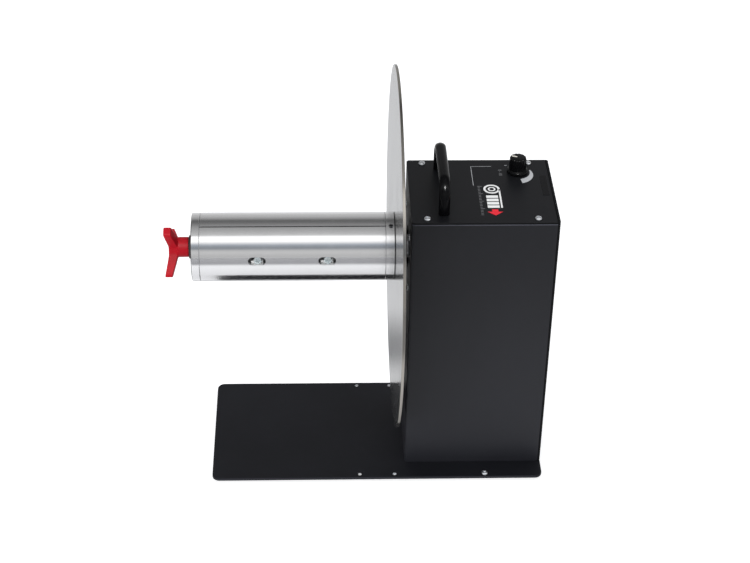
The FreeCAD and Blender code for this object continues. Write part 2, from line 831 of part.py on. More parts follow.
def shell_screws():
    """Pan-head screws in the windows, two for each shell."""
    low = (ramp_r + tube_r) / 2 + fit_gap
    top = screw_head_z + shell_screw_head_height
    screws = []
    for x in station_xs:
        screw = spun_up([
            (0, low), (shell_screw_r, low), (shell_screw_r, screw_head_z),
            (shell_screw_head_r, screw_head_z),
            (shell_screw_head_r, top - 0.35 * shell_screw_head_height),
            (0.8 * shell_screw_head_r, top - 0.07 * shell_screw_head_height),
            (shell_screw_slot_r, top), (shell_screw_slot_r, top - shell_screw_slot_r),
            (0, top - shell_screw_slot_r)], x)
        screws += around(screw, 3, shell_angle)
    return on_axis(Part.Compound(screws))


def release_springs():
    """Stacks of disc springs with a washer, under the screws' heads."""
    bore = shell_screw_r + fit_gap
    rim = shell_screw_head_r - fit_gap
    z = spring_z
    leaf = spring_height / 4
    stack = spun_up([
        (bore, z + leaf), (rim, z), (rim, z + leaf), (bore + leaf, z + 2 * leaf),
        (rim, z + 3 * leaf), (rim, z + 4 * leaf), (bore, z + 4 * leaf)])
    washer = spun_up([
        (bore, z + 4 * leaf), (shell_screw_head_r, z + 4 * leaf),
        (shell_screw_head_r, screw_head_z), (bore, screw_head_z)])
    shapes = []
    for x in station_xs:
        for shape in (stack, washer):
            placed = shape.copy()
            placed.translate(V(x, 0, 0))
            shapes += around(placed, 3, shell_angle)
    return on_axis(Part.Compound(shapes))


# Shells

def chuck_shell(number):
    """A third of the chuck's skin with two ramp pads, windows and screw slots."""
    x0 = cap_x + cap_length + plain_gap
    x1 = ring_x - plain_gap
    outline = Part.makePolygon([V(x, 0, r) for x, r in (
        (x0, shell_in_r), (x0, core_r - edge_chamfer), (x0 + edge_chamfer, core_r),
        (x1 - edge_chamfer, core_r), (x1, core_r - edge_chamfer), (x1, shell_in_r),
        (x0, shell_in_r))])
    skin = Part.Face(outline).revolve(V(0, 0, 0), ALONG_X, 120)
    skin = about_spindle(skin, -60)
    pads = [ramp_pad(x) for x in station_xs]
    half_slit = block(x0 - 1, x1 + 1, -slit / 2, 1, 0, core_r + 1)
    other_slit = block(x0 - 1, x1 + 1, -1, slit / 2, 0, core_r + 1)
    cuts = [about_spindle(half_slit, -60), about_spindle(other_slit, 60)]
    shank_slot = 2 * shell_screw_r + travel_in + travel_out + 2 * plain_gap
    for x in window_xs:
        cuts.append(slotted(x, window_length, window_breadth, floor_r, core_r + 1))
        cuts.append(slotted(x, shank_slot, 2 * (shell_screw_r + plain_gap), 0, core_r))
    shell = skin.fuse(pads).cut(cuts)
    return on_axis(about_spindle(shell, shell_angle + 120 * number))


def ramp_pad(x):
    """Pad inside a shell whose sloped face rides on a ramp."""
    seat = ramp_r + slide_gap
    top = math.sqrt((core_r - shell_wall / 2) ** 2 - (pad_breadth / 2) ** 2)
    near = V(x - pad_half, -pad_breadth / 2, seat - ramp_slope * pad_half)
    far = V(x + pad_half, -pad_breadth / 2, seat + ramp_slope * pad_half)
    side = Part.makePolygon([near, far, V(far.x, far.y, top), V(near.x, near.y, top), near])
    return Part.Face(side).extrude(V(0, pad_breadth, 0))


# Clamp knob

def knob_arms():
    """Plate of three arms swept towards the nose, with round hollows between them."""
    nose = knob_x - knob_hub_length - knob_boss_length
    tip = nose - knob_arm_sweep
    root = knob_x - knob_hub_length
    half = knob_arm_breadth / 2
    arm = block(tip, root, -half, half, 0, knob_arm_r + half)
    star = arm.fuse(around(arm, 3)[1:]).removeSplitter()
    star = rounded(star, knob_hollow_r, ALONG_X, lambda c: math.hypot(c.y, c.z) < knob_hub_r)
    disc = spun([(nose, 0), (nose, knob_hub_r), (tip, knob_arm_r),
                 (tip + knob_tip_thickness, knob_arm_r), (root, knob_hub_r), (root, 0)])
    plate = star.common(disc)
    plate = rounded(plate, knob_tip_r, ALONG_X,
                    lambda c: math.hypot(c.y, c.z) > knob_arm_r - 1)
    rims = [e for e in plate.Edges if math.hypot(e.CenterOfMass.y, e.CenterOfMass.z) > half
            and abs(e.tangentAt(e.FirstParameter).x) < 0.9]
    return plate.makeFillet(knob_edge_r, rims)


def clamp_knob():
    """Hub with three swept arms, bored for the stud."""
    root = knob_x - knob_hub_length
    soft = knob_soft_edge
    hub = spun([(root - soft, 0), (root - soft, knob_hub_r - soft), (root, knob_hub_r),
                (knob_x - soft, knob_hub_r), (knob_x, knob_hub_r - soft), (knob_x, 0)])
    body = hub.fuse(about_spindle(knob_arms(), knob_angle))
    return on_axis(body.cut(rod(root, knob_x, stud_r + fit_gap)))


def thrust_washer():
    """Washer between the knob and the chuck's nose."""
    x1 = knob_x + thrust_washer_thickness
    return on_axis(spun([
        (knob_x, stud_r + fit_gap), (knob_x, thrust_washer_r - edge_chamfer),
        (knob_x + edge_chamfer, thrust_washer_r), (x1, thrust_washer_r),
        (x1, stud_r + fit_gap)]))


def draw_stud():
    """Stud fixed in the knob, with a collar behind the cap's web, screwed into the nut."""
    start = knob_x - knob_hub_length
    collar = cap_x + cap_web + plain_gap
    end = pin_x - pin_r - nut_wall - travel_out - stud_end_gap
    return on_axis(spun([
        (start, 0), (start, stud_r), (collar, stud_r), (collar, bore_r - plain_gap),
        (collar + stud_collar, bore_r - plain_gap), (collar + stud_collar, stud_r),
        (end - shaft_end_chamfer, stud_r), (end, stud_r - shaft_end_chamfer), (end, 0)]))


# Belt drive

def toothed_pulley(teeth, tip_r, bore):
    """Timing pulley with a round groove for each belt tooth and a flange on each side."""
    step = math.radians(360 / teeth)
    half_groove = math.asin(tooth_r / tip_r)
    edges = []
    for k in range(teeth):
        a0 = k * step - half_groove
        a1 = k * step + half_groove
        a2 = (k + 1) * step - half_groove

        def point(angle, r):
            return V(pulley_x + pulley_flange, r * math.sin(angle), r * math.cos(angle))

        edges.append(Part.Arc(point(a0, tip_r), point(k * step, tip_r - tooth_r),
                              point(a1, tip_r)).toShape())
        edges.append(Part.Arc(point(a1, tip_r), point((a1 + a2) / 2, tip_r),
                              point(a2, tip_r)).toShape())
    gear = Part.Face(Part.Wire(edges)).extrude(V(pulley_width - 2 * pulley_flange, 0, 0))
    x1 = pulley_x + pulley_width
    sides = [rod(pulley_x, pulley_x + pulley_flange, tip_r + pulley_lip),
             rod(x1 - pulley_flange, x1, tip_r + pulley_lip)]
    return gear.fuse(sides).cut(rod(pulley_x, x1, bore + fit_gap))


def driven_pulley():
    """Large pulley on the spindle, with six lightening holes."""
    pulley = toothed_pulley(driven_teeth, driven_tip_r, seat_r)
    hole_circle = (seat_r + driven_tip_r) / 2
    hole_r = (driven_tip_r - seat_r) / 5
    hole = rod(pulley_x, pulley_x + pulley_width, hole_r, 0, hole_circle)
    return on_axis(pulley.cut(around(hole, 6)))


def motor_pulley():
    """Small pulley on the motor's shaft."""
    return on_axis(toothed_pulley(motor_teeth, motor_tip_r, motor_shaft_r), motor_z)


def belt_outline(grow):
    """Outline round both pulleys at a distance from their tips, as a face at x = 0."""
    top_r = driven_tip_r + grow
    low_r = motor_tip_r + grow
    drop = axis_z - motor_z
    lean = math.asin((top_r - low_r) / drop)
    side_y = math.cos(lean)
    side_z = math.sin(lean)
    top = V(0, top_r * side_y, axis_z - top_r * side_z)
    low = V(0, low_r * side_y, motor_z - low_r * side_z)
    edges = [
        Part.Arc(V(0, -top.y, top.z), V(0, 0, axis_z + top_r), top).toShape(),
        Part.LineSegment(top, low).toShape(),
        Part.Arc(low, V(0, 0, motor_z - low_r), V(0, -low.y, low.z)).toShape(),
        Part.LineSegment(V(0, -low.y, low.z), V(0, -top.y, top.z)).toShape()]
    return Part.Face(Part.Wire(edges))


def drive_belt():
    """Belt band just outside the pulleys' tips."""
    run = V(belt_width, 0, 0)
    band = belt_outline(plain_gap + belt_thickness).extrude(run).cut(
        belt_outline(plain_gap).extrude(run))
    band.translate(V(pulley_x + (pulley_width - belt_width) / 2, 0, 0))
    return band


def motor_gearbox():
    """Gearbox against the bracket, bored for the output shaft."""
    gearbox = rod(bracket_x - gearbox_length, bracket_x, gearbox_r)
    cuts = [rod(bracket_x - gearbox_length / 2, bracket_x, motor_shaft_r + running_gap)]
    cuts += [rod(bracket_x - screw_reach, bracket_x, screw_r + fit_gap, y, z)
             for y, z in motor_screws]
    return on_axis(gearbox.cut(cuts), motor_z)


def motor_can():
    """Motor can with a stepped end cover."""
    x1 = bracket_x - gearbox_length
    x0 = x1 - can_length
    step = x0 + can_step
    return on_axis(spun([(x0, 0), (x0, 0.4 * can_r), (step, 0.4 * can_r), (step, 0.93 * can_r),
                         (x0 + 2 * can_step, can_r), (x1, can_r), (x1, 0)]), motor_z)


def motor_shaft():
    """Output shaft that carries the small pulley."""
    x0 = bracket_x - gearbox_length / 2 + plain_gap
    end = pulley_x + pulley_width + shaft_end_length / 3
    return on_axis(rod(x0, end, motor_shaft_r), motor_z)


def motor_screw_set():
    """Four screws that hold the gearbox to the bracket."""
    back = bracket_x + bracket_thickness
    reach = bracket_thickness + screw_reach - plain_gap
    return Part.Compound([side_screw(reach, back, y, motor_z + z, 1) for y, z in motor_screws])


def drive_bracket():
    """Angle bracket that carries the rear bearing and the motor."""
    half = inside_y - bracket_margin
    crest = axis_z + bearing_block / 2 + bracket_margin
    back = bracket_x + bracket_thickness
    plate = block(bracket_x, back, -half, half, plate_top, crest)
    plate = rounded(plate, bracket_corner_r, ALONG_X, lambda c: c.z > crest - 1)
    sole = block(bracket_x - bracket_foot, bracket_x, -half, half, plate_top,
                 plate_top + bracket_thickness)
    cuts = [rod(bracket_x, back, bearing_r - bearing_lip, 0, axis_z),
            rod(bracket_x, back, motor_shaft_r + bracket_margin, 0, motor_z)]
    cuts += [rod(bracket_x, back, screw_r + fit_gap, y, axis_z + z) for y, z in bearing_screws]
    cuts += [rod(bracket_x, back, screw_r + fit_gap, y, motor_z + z) for y, z in motor_screws]
    cuts += [post(x, y, plate_top, plate_top + bracket_thickness, screw_r + fit_gap)
             for x, y in bracket_screws]
    cuts += [post(x, y, plate_top, plate_top + lip_width, screw_head_r) for x, y in base_screws]
    sole_lift = block(bracket_x - bracket_foot, back, -half, half, plate_top, plate_top + sheet)
    lips = sole_lift.common(housing_foot_lips())
    return plate.fuse(sole).cut(cuts + [lips])


def housing_foot_lips():
    """Space that the housing's bottom lips take, with a gap."""
    room = sheet + fit_gap
    lip_y = half_width - lip_width - plain_gap
    return Part.Compound([block(wall_x, panel_x, -half_width, -lip_y, plate_top, plate_top + room),
                          block(wall_x, panel_x, lip_y, half_width, plate_top, plate_top + room)])


# Tension dial

def potentiometer():
    """Potentiometer under the top panel, with its bush through the panel."""
    bush_r = pot_shaft_r + pot_bush_wall
    can = post(dial_x, dial_y, roof_z - pot_depth, roof_z, pot_r)
    bush = post(dial_x, dial_y, roof_z, top_z + pot_nut_height + pot_bush_proud, bush_r)
    shaft_room = post(dial_x, dial_y, roof_z - pot_depth / 2, top_z + 2 * pot_nut_height,
                      pot_shaft_r + running_gap)
    return can.fuse(bush).cut(shaft_room)


def pot_nut():
    """Hexagon nut on the bush."""
    nut = hexagon(dial_x, dial_y, top_z, top_z + pot_nut_height, pot_nut_r)
    return nut.cut(post(dial_x, dial_y, top_z, top_z + pot_nut_height,
                        pot_shaft_r + pot_bush_wall + fit_gap))


def pot_shaft():
    """Shaft of the potentiometer, fixed in the knob."""
    return post(dial_x, dial_y, roof_z - pot_depth / 2 + plain_gap,
                top_z + dial_bore_share * dial_height - fit_gap, pot_shaft_r)


def tension_knob():
    """Fluted knob with a skirt, hollow over the nut, and a pointer groove on its top."""
    z0 = top_z + plain_gap
    z1 = top_z + dial_height
    skirt_z = top_z + dial_skirt_height
    room_r = pot_nut_r + pot_bush_proud
    room_z = top_z + pot_nut_height + 2 * pot_bush_proud
    flute_circle_r = dial_r + dial_flute_r / 4
    body = spun_up([
        (room_r, z0), (dial_skirt_r, z0), (dial_skirt_r, skirt_z - dial_edge),
        (dial_r + plain_gap, skirt_z), (dial_r, z1 - dial_edge), (dial_r - dial_edge, z1), (0, z1),
        (0, room_z), (room_r, room_z)], dial_x, dial_y)
    cuts = [post(dial_x + flute_circle_r * math.cos(2 * math.pi * k / dial_flutes),
                 dial_y + flute_circle_r * math.sin(2 * math.pi * k / dial_flutes),
                 skirt_z, z1, dial_flute_r) for k in range(dial_flutes)]
    cuts.append(post(dial_x, dial_y, top_z, top_z + dial_bore_share * dial_height,
                     pot_shaft_r + fit_gap))
    pointer = block(dial_x - dial_r, dial_x, dial_y - dial_pointer_half,
                    dial_y + dial_pointer_half, z1 - dial_pointer_depth, z1)
    pointer.rotate(V(dial_x, dial_y, 0), UP, -dial_rest_angle)
    cuts.append(pointer)
    return body.cut(cuts)


# Switch and inlet

def switch_body():
    """Bezel and case of the rocker switch, with the rocker's pocket and pivot holes."""
    half_l = switch_length / 2
    half_b = switch_breadth / 2
    bezel = block(rear_x, rear_x + switch_bezel, switch_y - half_b, switch_y + half_b,
                  switch_z - half_l, switch_z + half_l)
    bezel = rounded(bezel, switch_corner_r, ALONG_X)
    case_b = half_b - switch_inset
    case_l = half_l - switch_inset
    case = block(rear_x - switch_depth, rear_x, switch_y - case_b, switch_y + case_b,
                 switch_z - case_l, switch_z + case_l)
    room_b = case_b - switch_wall
    room_l = rocker_r + plain_gap
    pocket = block(rocker_x - room_l, rear_x + switch_bezel, switch_y - room_b,
                   switch_y + room_b, switch_z - room_l, switch_z + room_l)
    pivot_half = case_b - switch_wall / 3
    pivot = Part.makeCylinder(rocker_pin_r + running_gap, 2 * pivot_half,
                              V(rocker_x, switch_y - pivot_half, switch_z), ALONG_Y)
    return bezel.fuse(case).cut([pocket, pivot])


def switch_rocker():
    """Rocker with a shallow vee in its face, on two stub pins."""
    half = switch_breadth / 2 - switch_inset - switch_wall - plain_gap
    drum = Part.makeCylinder(rocker_r, 2 * half, V(rocker_x, switch_y - half, switch_z), ALONG_Y)
    crest_x = rear_x + switch_bezel + rocker_proud
    vee = Part.makePolygon([V(x, switch_y - half, z) for x, z in (
        (crest_x - rocker_vee, switch_z), (crest_x, switch_z - rocker_r),
        (rocker_x + 2 * rocker_r, switch_z - rocker_r),
        (rocker_x + 2 * rocker_r, switch_z + rocker_r),
        (crest_x, switch_z + rocker_r), (crest_x - rocker_vee, switch_z))])
    above = Part.Face(vee).extrude(V(0, 2 * half, 0))
    stub_half = half + switch_wall / 2
    stubs = Part.makeCylinder(rocker_pin_r, 2 * stub_half,
                              V(rocker_x, switch_y - stub_half, switch_z), ALONG_Y)
    return drum.cut(above).fuse(stubs)


def power_inlet():
    """Round low-voltage inlet with a centre pin."""
    back = rear_x - inlet_depth
    floor = back + inlet_floor
    face = rear_x + inlet_flange
    rim_r = inlet_r + inlet_flange
    body = spun([(back, 0), (back, inlet_r), (rear_x, inlet_r), (rear_x, rim_r),
                 (face - edge_chamfer, rim_r), (face, rim_r - edge_chamfer),
                 (face, inlet_bore_r), (floor, inlet_bore_r), (floor, inlet_pin_r),
                 (rear_x - edge_chamfer, inlet_pin_r), (rear_x - edge_chamfer, 0)])
    body.translate(V(0, inlet_y, switch_z))
    return body


def inlet_nut():
    """Ring nut that clamps the inlet inside the panel."""
    x0 = panel_x - inlet_nut_thickness
    nut = rod(x0, panel_x, inlet_r + inlet_nut_thickness).cut(
        rod(x0, panel_x, inlet_r + fit_gap))
    nut.translate(V(0, inlet_y, switch_z))
    return nut


# Control electronics

def board_frame():
    """Corner and size of the control board on the rear side wall."""
    corner_z = motor_z + gearbox_r + board_over_gearbox
    return inside_x + board_from_wall, corner_z, inside_y - board_standoff


def board_posts():
    """Centres of the board's four standoffs."""
    x, z, _ = board_frame()
    edge = board_post_inset
    return [(px, pz) for px in (x + edge, x + board_length - edge)
            for pz in (z + edge, z + board_height - edge)]


def control_board():
    """Circuit board, drilled at its corners."""
    x, z, y = board_frame()
    board = block(x, x + board_length, y - board_thickness, y, z, z + board_height)
    return board.cut([Part.makeCylinder(board_hole_r, board_thickness, V(px, y, pz), -ALONG_Y)
                      for px, pz in board_posts()])


def board_standoffs():
    """Standoffs between the board and the wall."""
    _, _, y = board_frame()
    return Part.Compound([Part.makeCylinder(board_post_r, board_standoff, V(px, y, pz), ALONG_Y)
                          for px, pz in board_posts()])


def board_components():
    """Capacitors, a heat sink and a terminal block on the board."""
    x, z, y = board_frame()
    face = y - board_thickness
    far = face - board_part_height
    parts = [Part.makeCylinder(capacitor_r, board_part_height,
                               V(x + share * board_length, face, z + 0.74 * board_height), -ALONG_Y)
             for share in (0.28, 0.48)]
    parts.append(block(x + 0.2 * board_length, x + 0.7 * board_length, (face + far) / 2, face,
                       z + 0.05 * board_height, z + 0.22 * board_height))
    z0 = z + 0.3 * board_height
    fin = board_height / 18
    sink = block(x + 0.72 * board_length, x + 0.88 * board_length, far, face, z0, z0 + 9 * fin)
    slots = [block(x + 0.76 * board_length, x + 0.88 * board_length, far, face - fin,
                   z0 + (2 * k + 1) * fin, z0 + (2 * k + 2) * fin) for k in range(4)]
    parts.append(sink.cut(slots))
    return Part.Compound(parts)


NODES = {
    "base_plate": base_plate, "plate_inserts": plate_inserts, "edge_screws": edge_screws,
    "rubber_feet": rubber_feet, "base_screws": base_fasteners,
    "housing_shell": housing_shell, "top_panel": top_panel, "top_panel_screws": top_panel_screws,
    "rear_panel": rear_panel, "rear_panel_screws": rear_panel_screws,
    "carry_handle": carry_handle, "handle_screws": handle_fasteners,
    "front_bearing_housing": lambda: bearing_housing(*bearing_places()[0]),
    "rear_bearing_housing": lambda: bearing_housing(*bearing_places()[1]),
    "bearing_housing_screws": bearing_screw_set, "bearing_outer_rings": bearing_outer_rings,
    "drive_bracket": drive_bracket, "motor_gearbox": motor_gearbox, "motor_can": motor_can,
    "motor_screws": motor_screw_set, "drive_belt": drive_belt,
    "control_board": control_board, "board_components": board_components,
    "board_standoffs": board_standoffs, "potentiometer": potentiometer,
    "potentiometer_nut": pot_nut, "switch_body": switch_body, "power_inlet": power_inlet,
    "inlet_nut": inlet_nut,
    "spindle_shaft": spindle_shaft, "shaft_clip": shaft_clip,
    "bearing_inner_rings": bearing_inner_rings, "driven_pulley": driven_pulley,
    "disc_hub": disc_hub, "disc_screws": disc_screws, "flange_disc": flange_disc,
    "set_screws": set_screws, "chuck_rear_ring": chuck_rear_ring,
    "chuck_front_cap": chuck_front_cap,
    "wedge_sleeve": wedge_sleeve, "draw_nut": draw_nut, "cross_pin": cross_pin,
    "shell_screws": shell_screws, "release_springs": release_springs,
    "chuck_shell_1": lambda: chuck_shell(0), "chuck_shell_2": lambda: chuck_shell(1),
    "chuck_shell_3": lambda: chuck_shell(2),
    "clamp_knob": clamp_knob, "thrust_washer": thrust_washer, "draw_stud": draw_stud,
    "motor_shaft": motor_shaft, "motor_pulley": motor_pulley,
    "tension_knob": tension_knob, "potentiometer_shaft": pot_shaft,
    "switch_rocker": switch_rocker,
}

os.makedirs("parts", exist_ok=True)
for name, make in NODES.items():
    make().exportStep(f"parts/{name}.step")
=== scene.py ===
"""Label unwinder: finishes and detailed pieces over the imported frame.

The spindle lies along X with the chuck towards -X, Z is up, and lengths are metres.
"""
from __future__ import annotations

import logging
import math
from dataclasses import dataclass, field
from enum import Enum
from typing import Mapping, Sequence, Union

import bpy
from mathutils import Matrix, Vector


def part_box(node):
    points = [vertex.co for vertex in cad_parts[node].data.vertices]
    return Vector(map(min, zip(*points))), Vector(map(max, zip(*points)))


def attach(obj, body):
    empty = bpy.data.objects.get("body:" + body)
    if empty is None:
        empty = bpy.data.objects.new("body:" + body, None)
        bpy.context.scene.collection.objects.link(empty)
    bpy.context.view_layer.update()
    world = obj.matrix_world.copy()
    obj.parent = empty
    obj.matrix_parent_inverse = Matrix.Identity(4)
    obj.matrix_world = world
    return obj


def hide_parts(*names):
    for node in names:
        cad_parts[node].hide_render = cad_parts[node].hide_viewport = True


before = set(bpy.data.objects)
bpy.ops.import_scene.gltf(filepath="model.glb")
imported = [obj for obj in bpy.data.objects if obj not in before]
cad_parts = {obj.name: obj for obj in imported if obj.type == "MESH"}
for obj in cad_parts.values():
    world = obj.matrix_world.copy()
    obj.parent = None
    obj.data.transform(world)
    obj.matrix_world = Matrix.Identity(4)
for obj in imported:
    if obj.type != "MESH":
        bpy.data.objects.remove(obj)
log = logging.getLogger("label_unwinder")

Colour = tuple[float, float, float]
Span = tuple[float, float]
Point = tuple[float, float]
Value = Union["Wire", float, tuple]

MM = 0.001
NEVER = (-1.0, -1.0)
OUT_OF_REACH = 9.0
# Tone factor of painted shade: shaded recesses, joints and tops are the colour times this.
PAINTED_SHADE_TONE = 0.06
SPINDLE_Z = (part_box("flange_disc")[0][2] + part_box("flange_disc")[1][2]) / 2
SPINDLE = Vector((0.0, 0.0, SPINDLE_Z))


class Way(Enum):
    """The axis that a turned piece is spun about."""

    SPINDLE = (1.0, 0.0, 0.0)
    UPRIGHT = (0.0, 0.0, 1.0)

    def point(self, along: float, out: float, centre: Vector) -> Vector:
        """A point of the outline.

        Args:
            along: distance along the axis.
            out: radius.
            centre: a point on the axis.

        Returns:
            The point in the frame.
        """
        if self is Way.SPINDLE:
            return centre + Vector((along, 0.0, out))
        return centre + Vector((out, 0.0, along))


class Bench:
    """Hand tools for meshes. Each works on the object that is named or active."""

    @staticmethod
    def clear() -> None:
        """Leaves edit mode and deselects everything."""
        if bpy.context.object and bpy.context.object.mode != "OBJECT":
            bpy.ops.object.mode_set(mode="OBJECT")
        bpy.ops.object.select_all(action="DESELECT")

    @staticmethod
    def take(*pieces: bpy.types.Object) -> bpy.types.Object:
        """Selects pieces and makes the first one active.

        Args:
            pieces: the objects to select.

        Returns:
            The active object.
        """
        Bench.clear()
        for piece in pieces:
            piece.select_set(True)
        bpy.context.view_layer.objects.active = pieces[0]
        return pieces[0]

    @staticmethod
    def drop(*pieces: bpy.types.Object) -> None:
        """Deletes pieces."""
        Bench.take(*pieces)
        bpy.ops.object.delete()

    @staticmethod
    def fix() -> None:
        """Applies the selected piece's place, turn and size."""
        bpy.ops.object.transform_apply(location=True, rotation=True, scale=True)

    @staticmethod
    def label(piece: bpy.types.Object, name: str) -> bpy.types.Object:
        """Names a piece and its mesh.

        Args:
            piece: the piece.
            name: the name.

        Returns:
            The piece.
        """
        piece.name = name
        piece.data.name = name
        return piece

    @staticmethod
    def done(name: str, smooth: float = 30.0) -> bpy.types.Object:
        """Ends work on the active piece: applies its place, names it and shades it.

        Args:
            name: the piece's name.
            smooth: edges sharper than this angle in degrees stay crisp.

        Returns:
            The finished object.
        """
        bpy.ops.object.mode_set(mode="OBJECT")
        piece = Bench.take(bpy.context.object)
        Bench.fix()
        bpy.ops.object.shade_smooth_by_angle(angle=math.radians(smooth))
        return Bench.label(piece, name)

    @staticmethod
    def chain(points: Sequence[Vector]) -> None:
        """Draws a chain of edges from a first point by extruding, and stays in edit mode.

        Args:
            points: the corners in order.
        """
        Bench.clear()
        bpy.ops.mesh.primitive_plane_add(size=MM, location=points[0])
        bpy.ops.object.mode_set(mode="EDIT")
        bpy.ops.mesh.select_all(action="SELECT")
        bpy.ops.mesh.merge(type="CENTER")
        for last, point in zip(points, points[1:]):
            bpy.ops.mesh.extrude_region_move(
                TRANSFORM_OT_translate={"value": tuple(point - last)})
        bpy.ops.mesh.select_all(action="SELECT")

    @staticmethod
    def loop(points: Sequence[Vector]) -> None:
        """Draws a chain whose ends are merged where they meet, and selects it.

        Args:
            points: the corners in order.
        """
        Bench.chain(points)
        bpy.ops.mesh.remove_doubles(threshold=1e-7)
        bpy.ops.mesh.select_all(action="SELECT")

    @staticmethod
    def tidy_mesh(reach: float = 1e-6) -> None:
        """Merges doubles of the mesh in edit mode and turns its faces outwards.

        Args:
            reach: points nearer than this are merged.
        """
        bpy.ops.mesh.select_all(action="SELECT")
        bpy.ops.mesh.remove_doubles(threshold=reach)
        bpy.ops.mesh.normals_make_consistent(inside=False)

    @staticmethod
    def turned(name: str, outline: Sequence[Point], centre: Vector, way: Way = Way.SPINDLE,
               steps: int = 96, closed: bool = True) -> bpy.types.Object:
        """Spins an outline of (along, radius) points into a solid of revolution.

        Args:
            name: the piece's name.
            outline: the points, in metres.
            centre: a point on the axis, from which the outline is measured.
            way: the axis.
            steps: faces round the piece.
            closed: whether the outline closes on itself; an open one ends on the axis.

        Returns:
            The finished object.
        """
        points = [way.point(along, out, centre) for along, out in outline]
        if closed:
            points.append(points[0])
        Bench.loop(points)
        bpy.ops.mesh.spin(steps=steps, angle=2 * math.pi, center=centre, axis=way.value)
        Bench.tidy_mesh()
        return Bench.done(name)

    @staticmethod
    def prism(name: str, corners: Sequence[Vector], run: Vector) -> bpy.types.Object:
        """Fills a closed outline and extrudes it.

        Args:
            name: the piece's name.
            corners: the outline, which lies in one plane.
            run: the extrusion.

        Returns:
            The finished object.
        """
        Bench.chain(corners)
        bpy.ops.mesh.edge_face_add()
        bpy.ops.mesh.extrude_region_move(TRANSFORM_OT_translate={"value": tuple(run)})
        Bench.tidy_mesh(1e-7)
        return Bench.done(name)

    @staticmethod
    def copy(piece: bpy.types.Object, name: str) -> bpy.types.Object:
        """Duplicates a piece with a mesh of its own.

        Args:
            piece: the piece to copy.
            name: the copy's name.

        Returns:
            The copy.
        """
        Bench.take(piece)
        bpy.ops.object.duplicate()
        return Bench.label(bpy.context.object, name)

    @staticmethod
    def shift(piece: bpy.types.Object, by: Vector) -> bpy.types.Object:
        """Moves a piece and applies the move.

        Args:
            piece: the piece.
            by: the way to go.

        Returns:
            The piece.
        """
        Bench.take(piece)
        bpy.ops.transform.translate(value=by)
        Bench.fix()
        return piece

    @staticmethod
    def turn(piece: bpy.types.Object, degrees: float, axis: str, centre: Vector
             ) -> bpy.types.Object:
        """Turns a piece by the right-hand rule and applies the turn.

        Args:
            piece: the piece.
            degrees: the angle.
            axis: X, Y or Z.
            centre: a point on the axis.

        Returns:
            The piece.
        """
        Bench.take(piece)
        bpy.ops.transform.rotate(value=-math.radians(degrees), orient_axis=axis,
                                 center_override=centre)
        Bench.fix()
        return piece

    @staticmethod
    def join(name: str, pieces: Sequence[bpy.types.Object]) -> bpy.types.Object:
        """Joins pieces into one object.

        Args:
            name: the joined piece's name.
            pieces: what to join.

        Returns:
            The joined object.
        """
        whole = Bench.take(*pieces)
        bpy.ops.object.join()
        return Bench.label(whole, name)

    @staticmethod
    def modify(piece: bpy.types.Object, kind: str, **settings: object) -> bpy.types.Object:
        """Adds a modifier and applies it.

        Args:
            piece: the piece.
            kind: the modifier's type.
            settings: its settings by name.

        Returns:
            The piece.
        """
        Bench.take(piece)
        bpy.ops.object.modifier_add(type=kind)
        modifier = piece.modifiers[-1]
        for key, setting in settings.items():
            setattr(modifier, key, setting)
        bpy.ops.object.modifier_apply(modifier=modifier.name)
        return piece

    @staticmethod
    def combine(piece: bpy.types.Object, other: bpy.types.Object, operation: str
                ) -> bpy.types.Object:
        """Cuts or unites a piece with another, which is then deleted.

        Args:
            piece: the piece that stays.
            other: the cutter or the addition.
            operation: DIFFERENCE, UNION or INTERSECT.

        Returns:
            The piece.
        """
        Bench.modify(piece, "BOOLEAN", operation=operation, object=other, solver="EXACT")
        Bench.drop(other)
        return piece

    @staticmethod
    def shade(piece: bpy.types.Object, angle: float = 30.0) -> bpy.types.Object:
        """Shades a piece smooth.

        Args:
            piece: the piece.
            angle: edges sharper than this angle in degrees stay crisp.

        Returns:
            The piece.
        """
        Bench.take(piece)
        bpy.ops.object.shade_smooth_by_angle(angle=math.radians(angle))
        return piece


class Wire:
    """A socket of a node tree that takes part in Python sums."""

    def __init__(self, recipe: "Recipe", socket: bpy.types.NodeSocket) -> None:
        """Keeps the socket and the recipe it belongs to."""
        self.recipe = recipe
        self.socket = socket

    def _sum(self, operation: str, *values: Value) -> "Wire":
        """Adds a Math node over the values."""
        return self.recipe.add("Math", {"operation": operation}, dict(enumerate(values)))

    def __add__(self, other: Value) -> "Wire":
        """This plus other."""
        return self._sum("ADD", self, other)

    def __radd__(self, other: Value) -> "Wire":
        """Other plus this."""
        return self._sum("ADD", other, self)

    def __sub__(self, other: Value) -> "Wire":
        """This less other."""
        return self._sum("SUBTRACT", self, other)

    def __rsub__(self, other: Value) -> "Wire":
        """Other less this."""
        return self._sum("SUBTRACT", other, self)

    def __mul__(self, other: Value) -> "Wire":
        """This times other."""
        return self._sum("MULTIPLY", self, other)

    def __rmul__(self, other: Value) -> "Wire":
        """Other times this."""
        return self._sum("MULTIPLY", other, self)

    def __pow__(self, other: Value) -> "Wire":
        """This to a power."""
        return self._sum("POWER", self, other)

    def sine(self) -> "Wire":
        """Sine of this, in radians."""
        return self._sum("SINE", self)

    def angle_over(self, other: Value) -> "Wire":
        """Angle whose tangent is this over other, in radians."""
        return self._sum("ARCTAN2", self, other)

    def step(self, low: float, high: float) -> "Wire":
        """Rises smoothly from 0 at low to 1 at high.

        Args:
            low: where it starts.
            high: where it ends; below low it falls instead.

        Returns:
            The mask.
        """
        return self.recipe.add(
            "MapRange", {"interpolation_type": "SMOOTHSTEP"},
            {0: self, 1: low, 2: high, 3: 0.0, 4: 1.0})


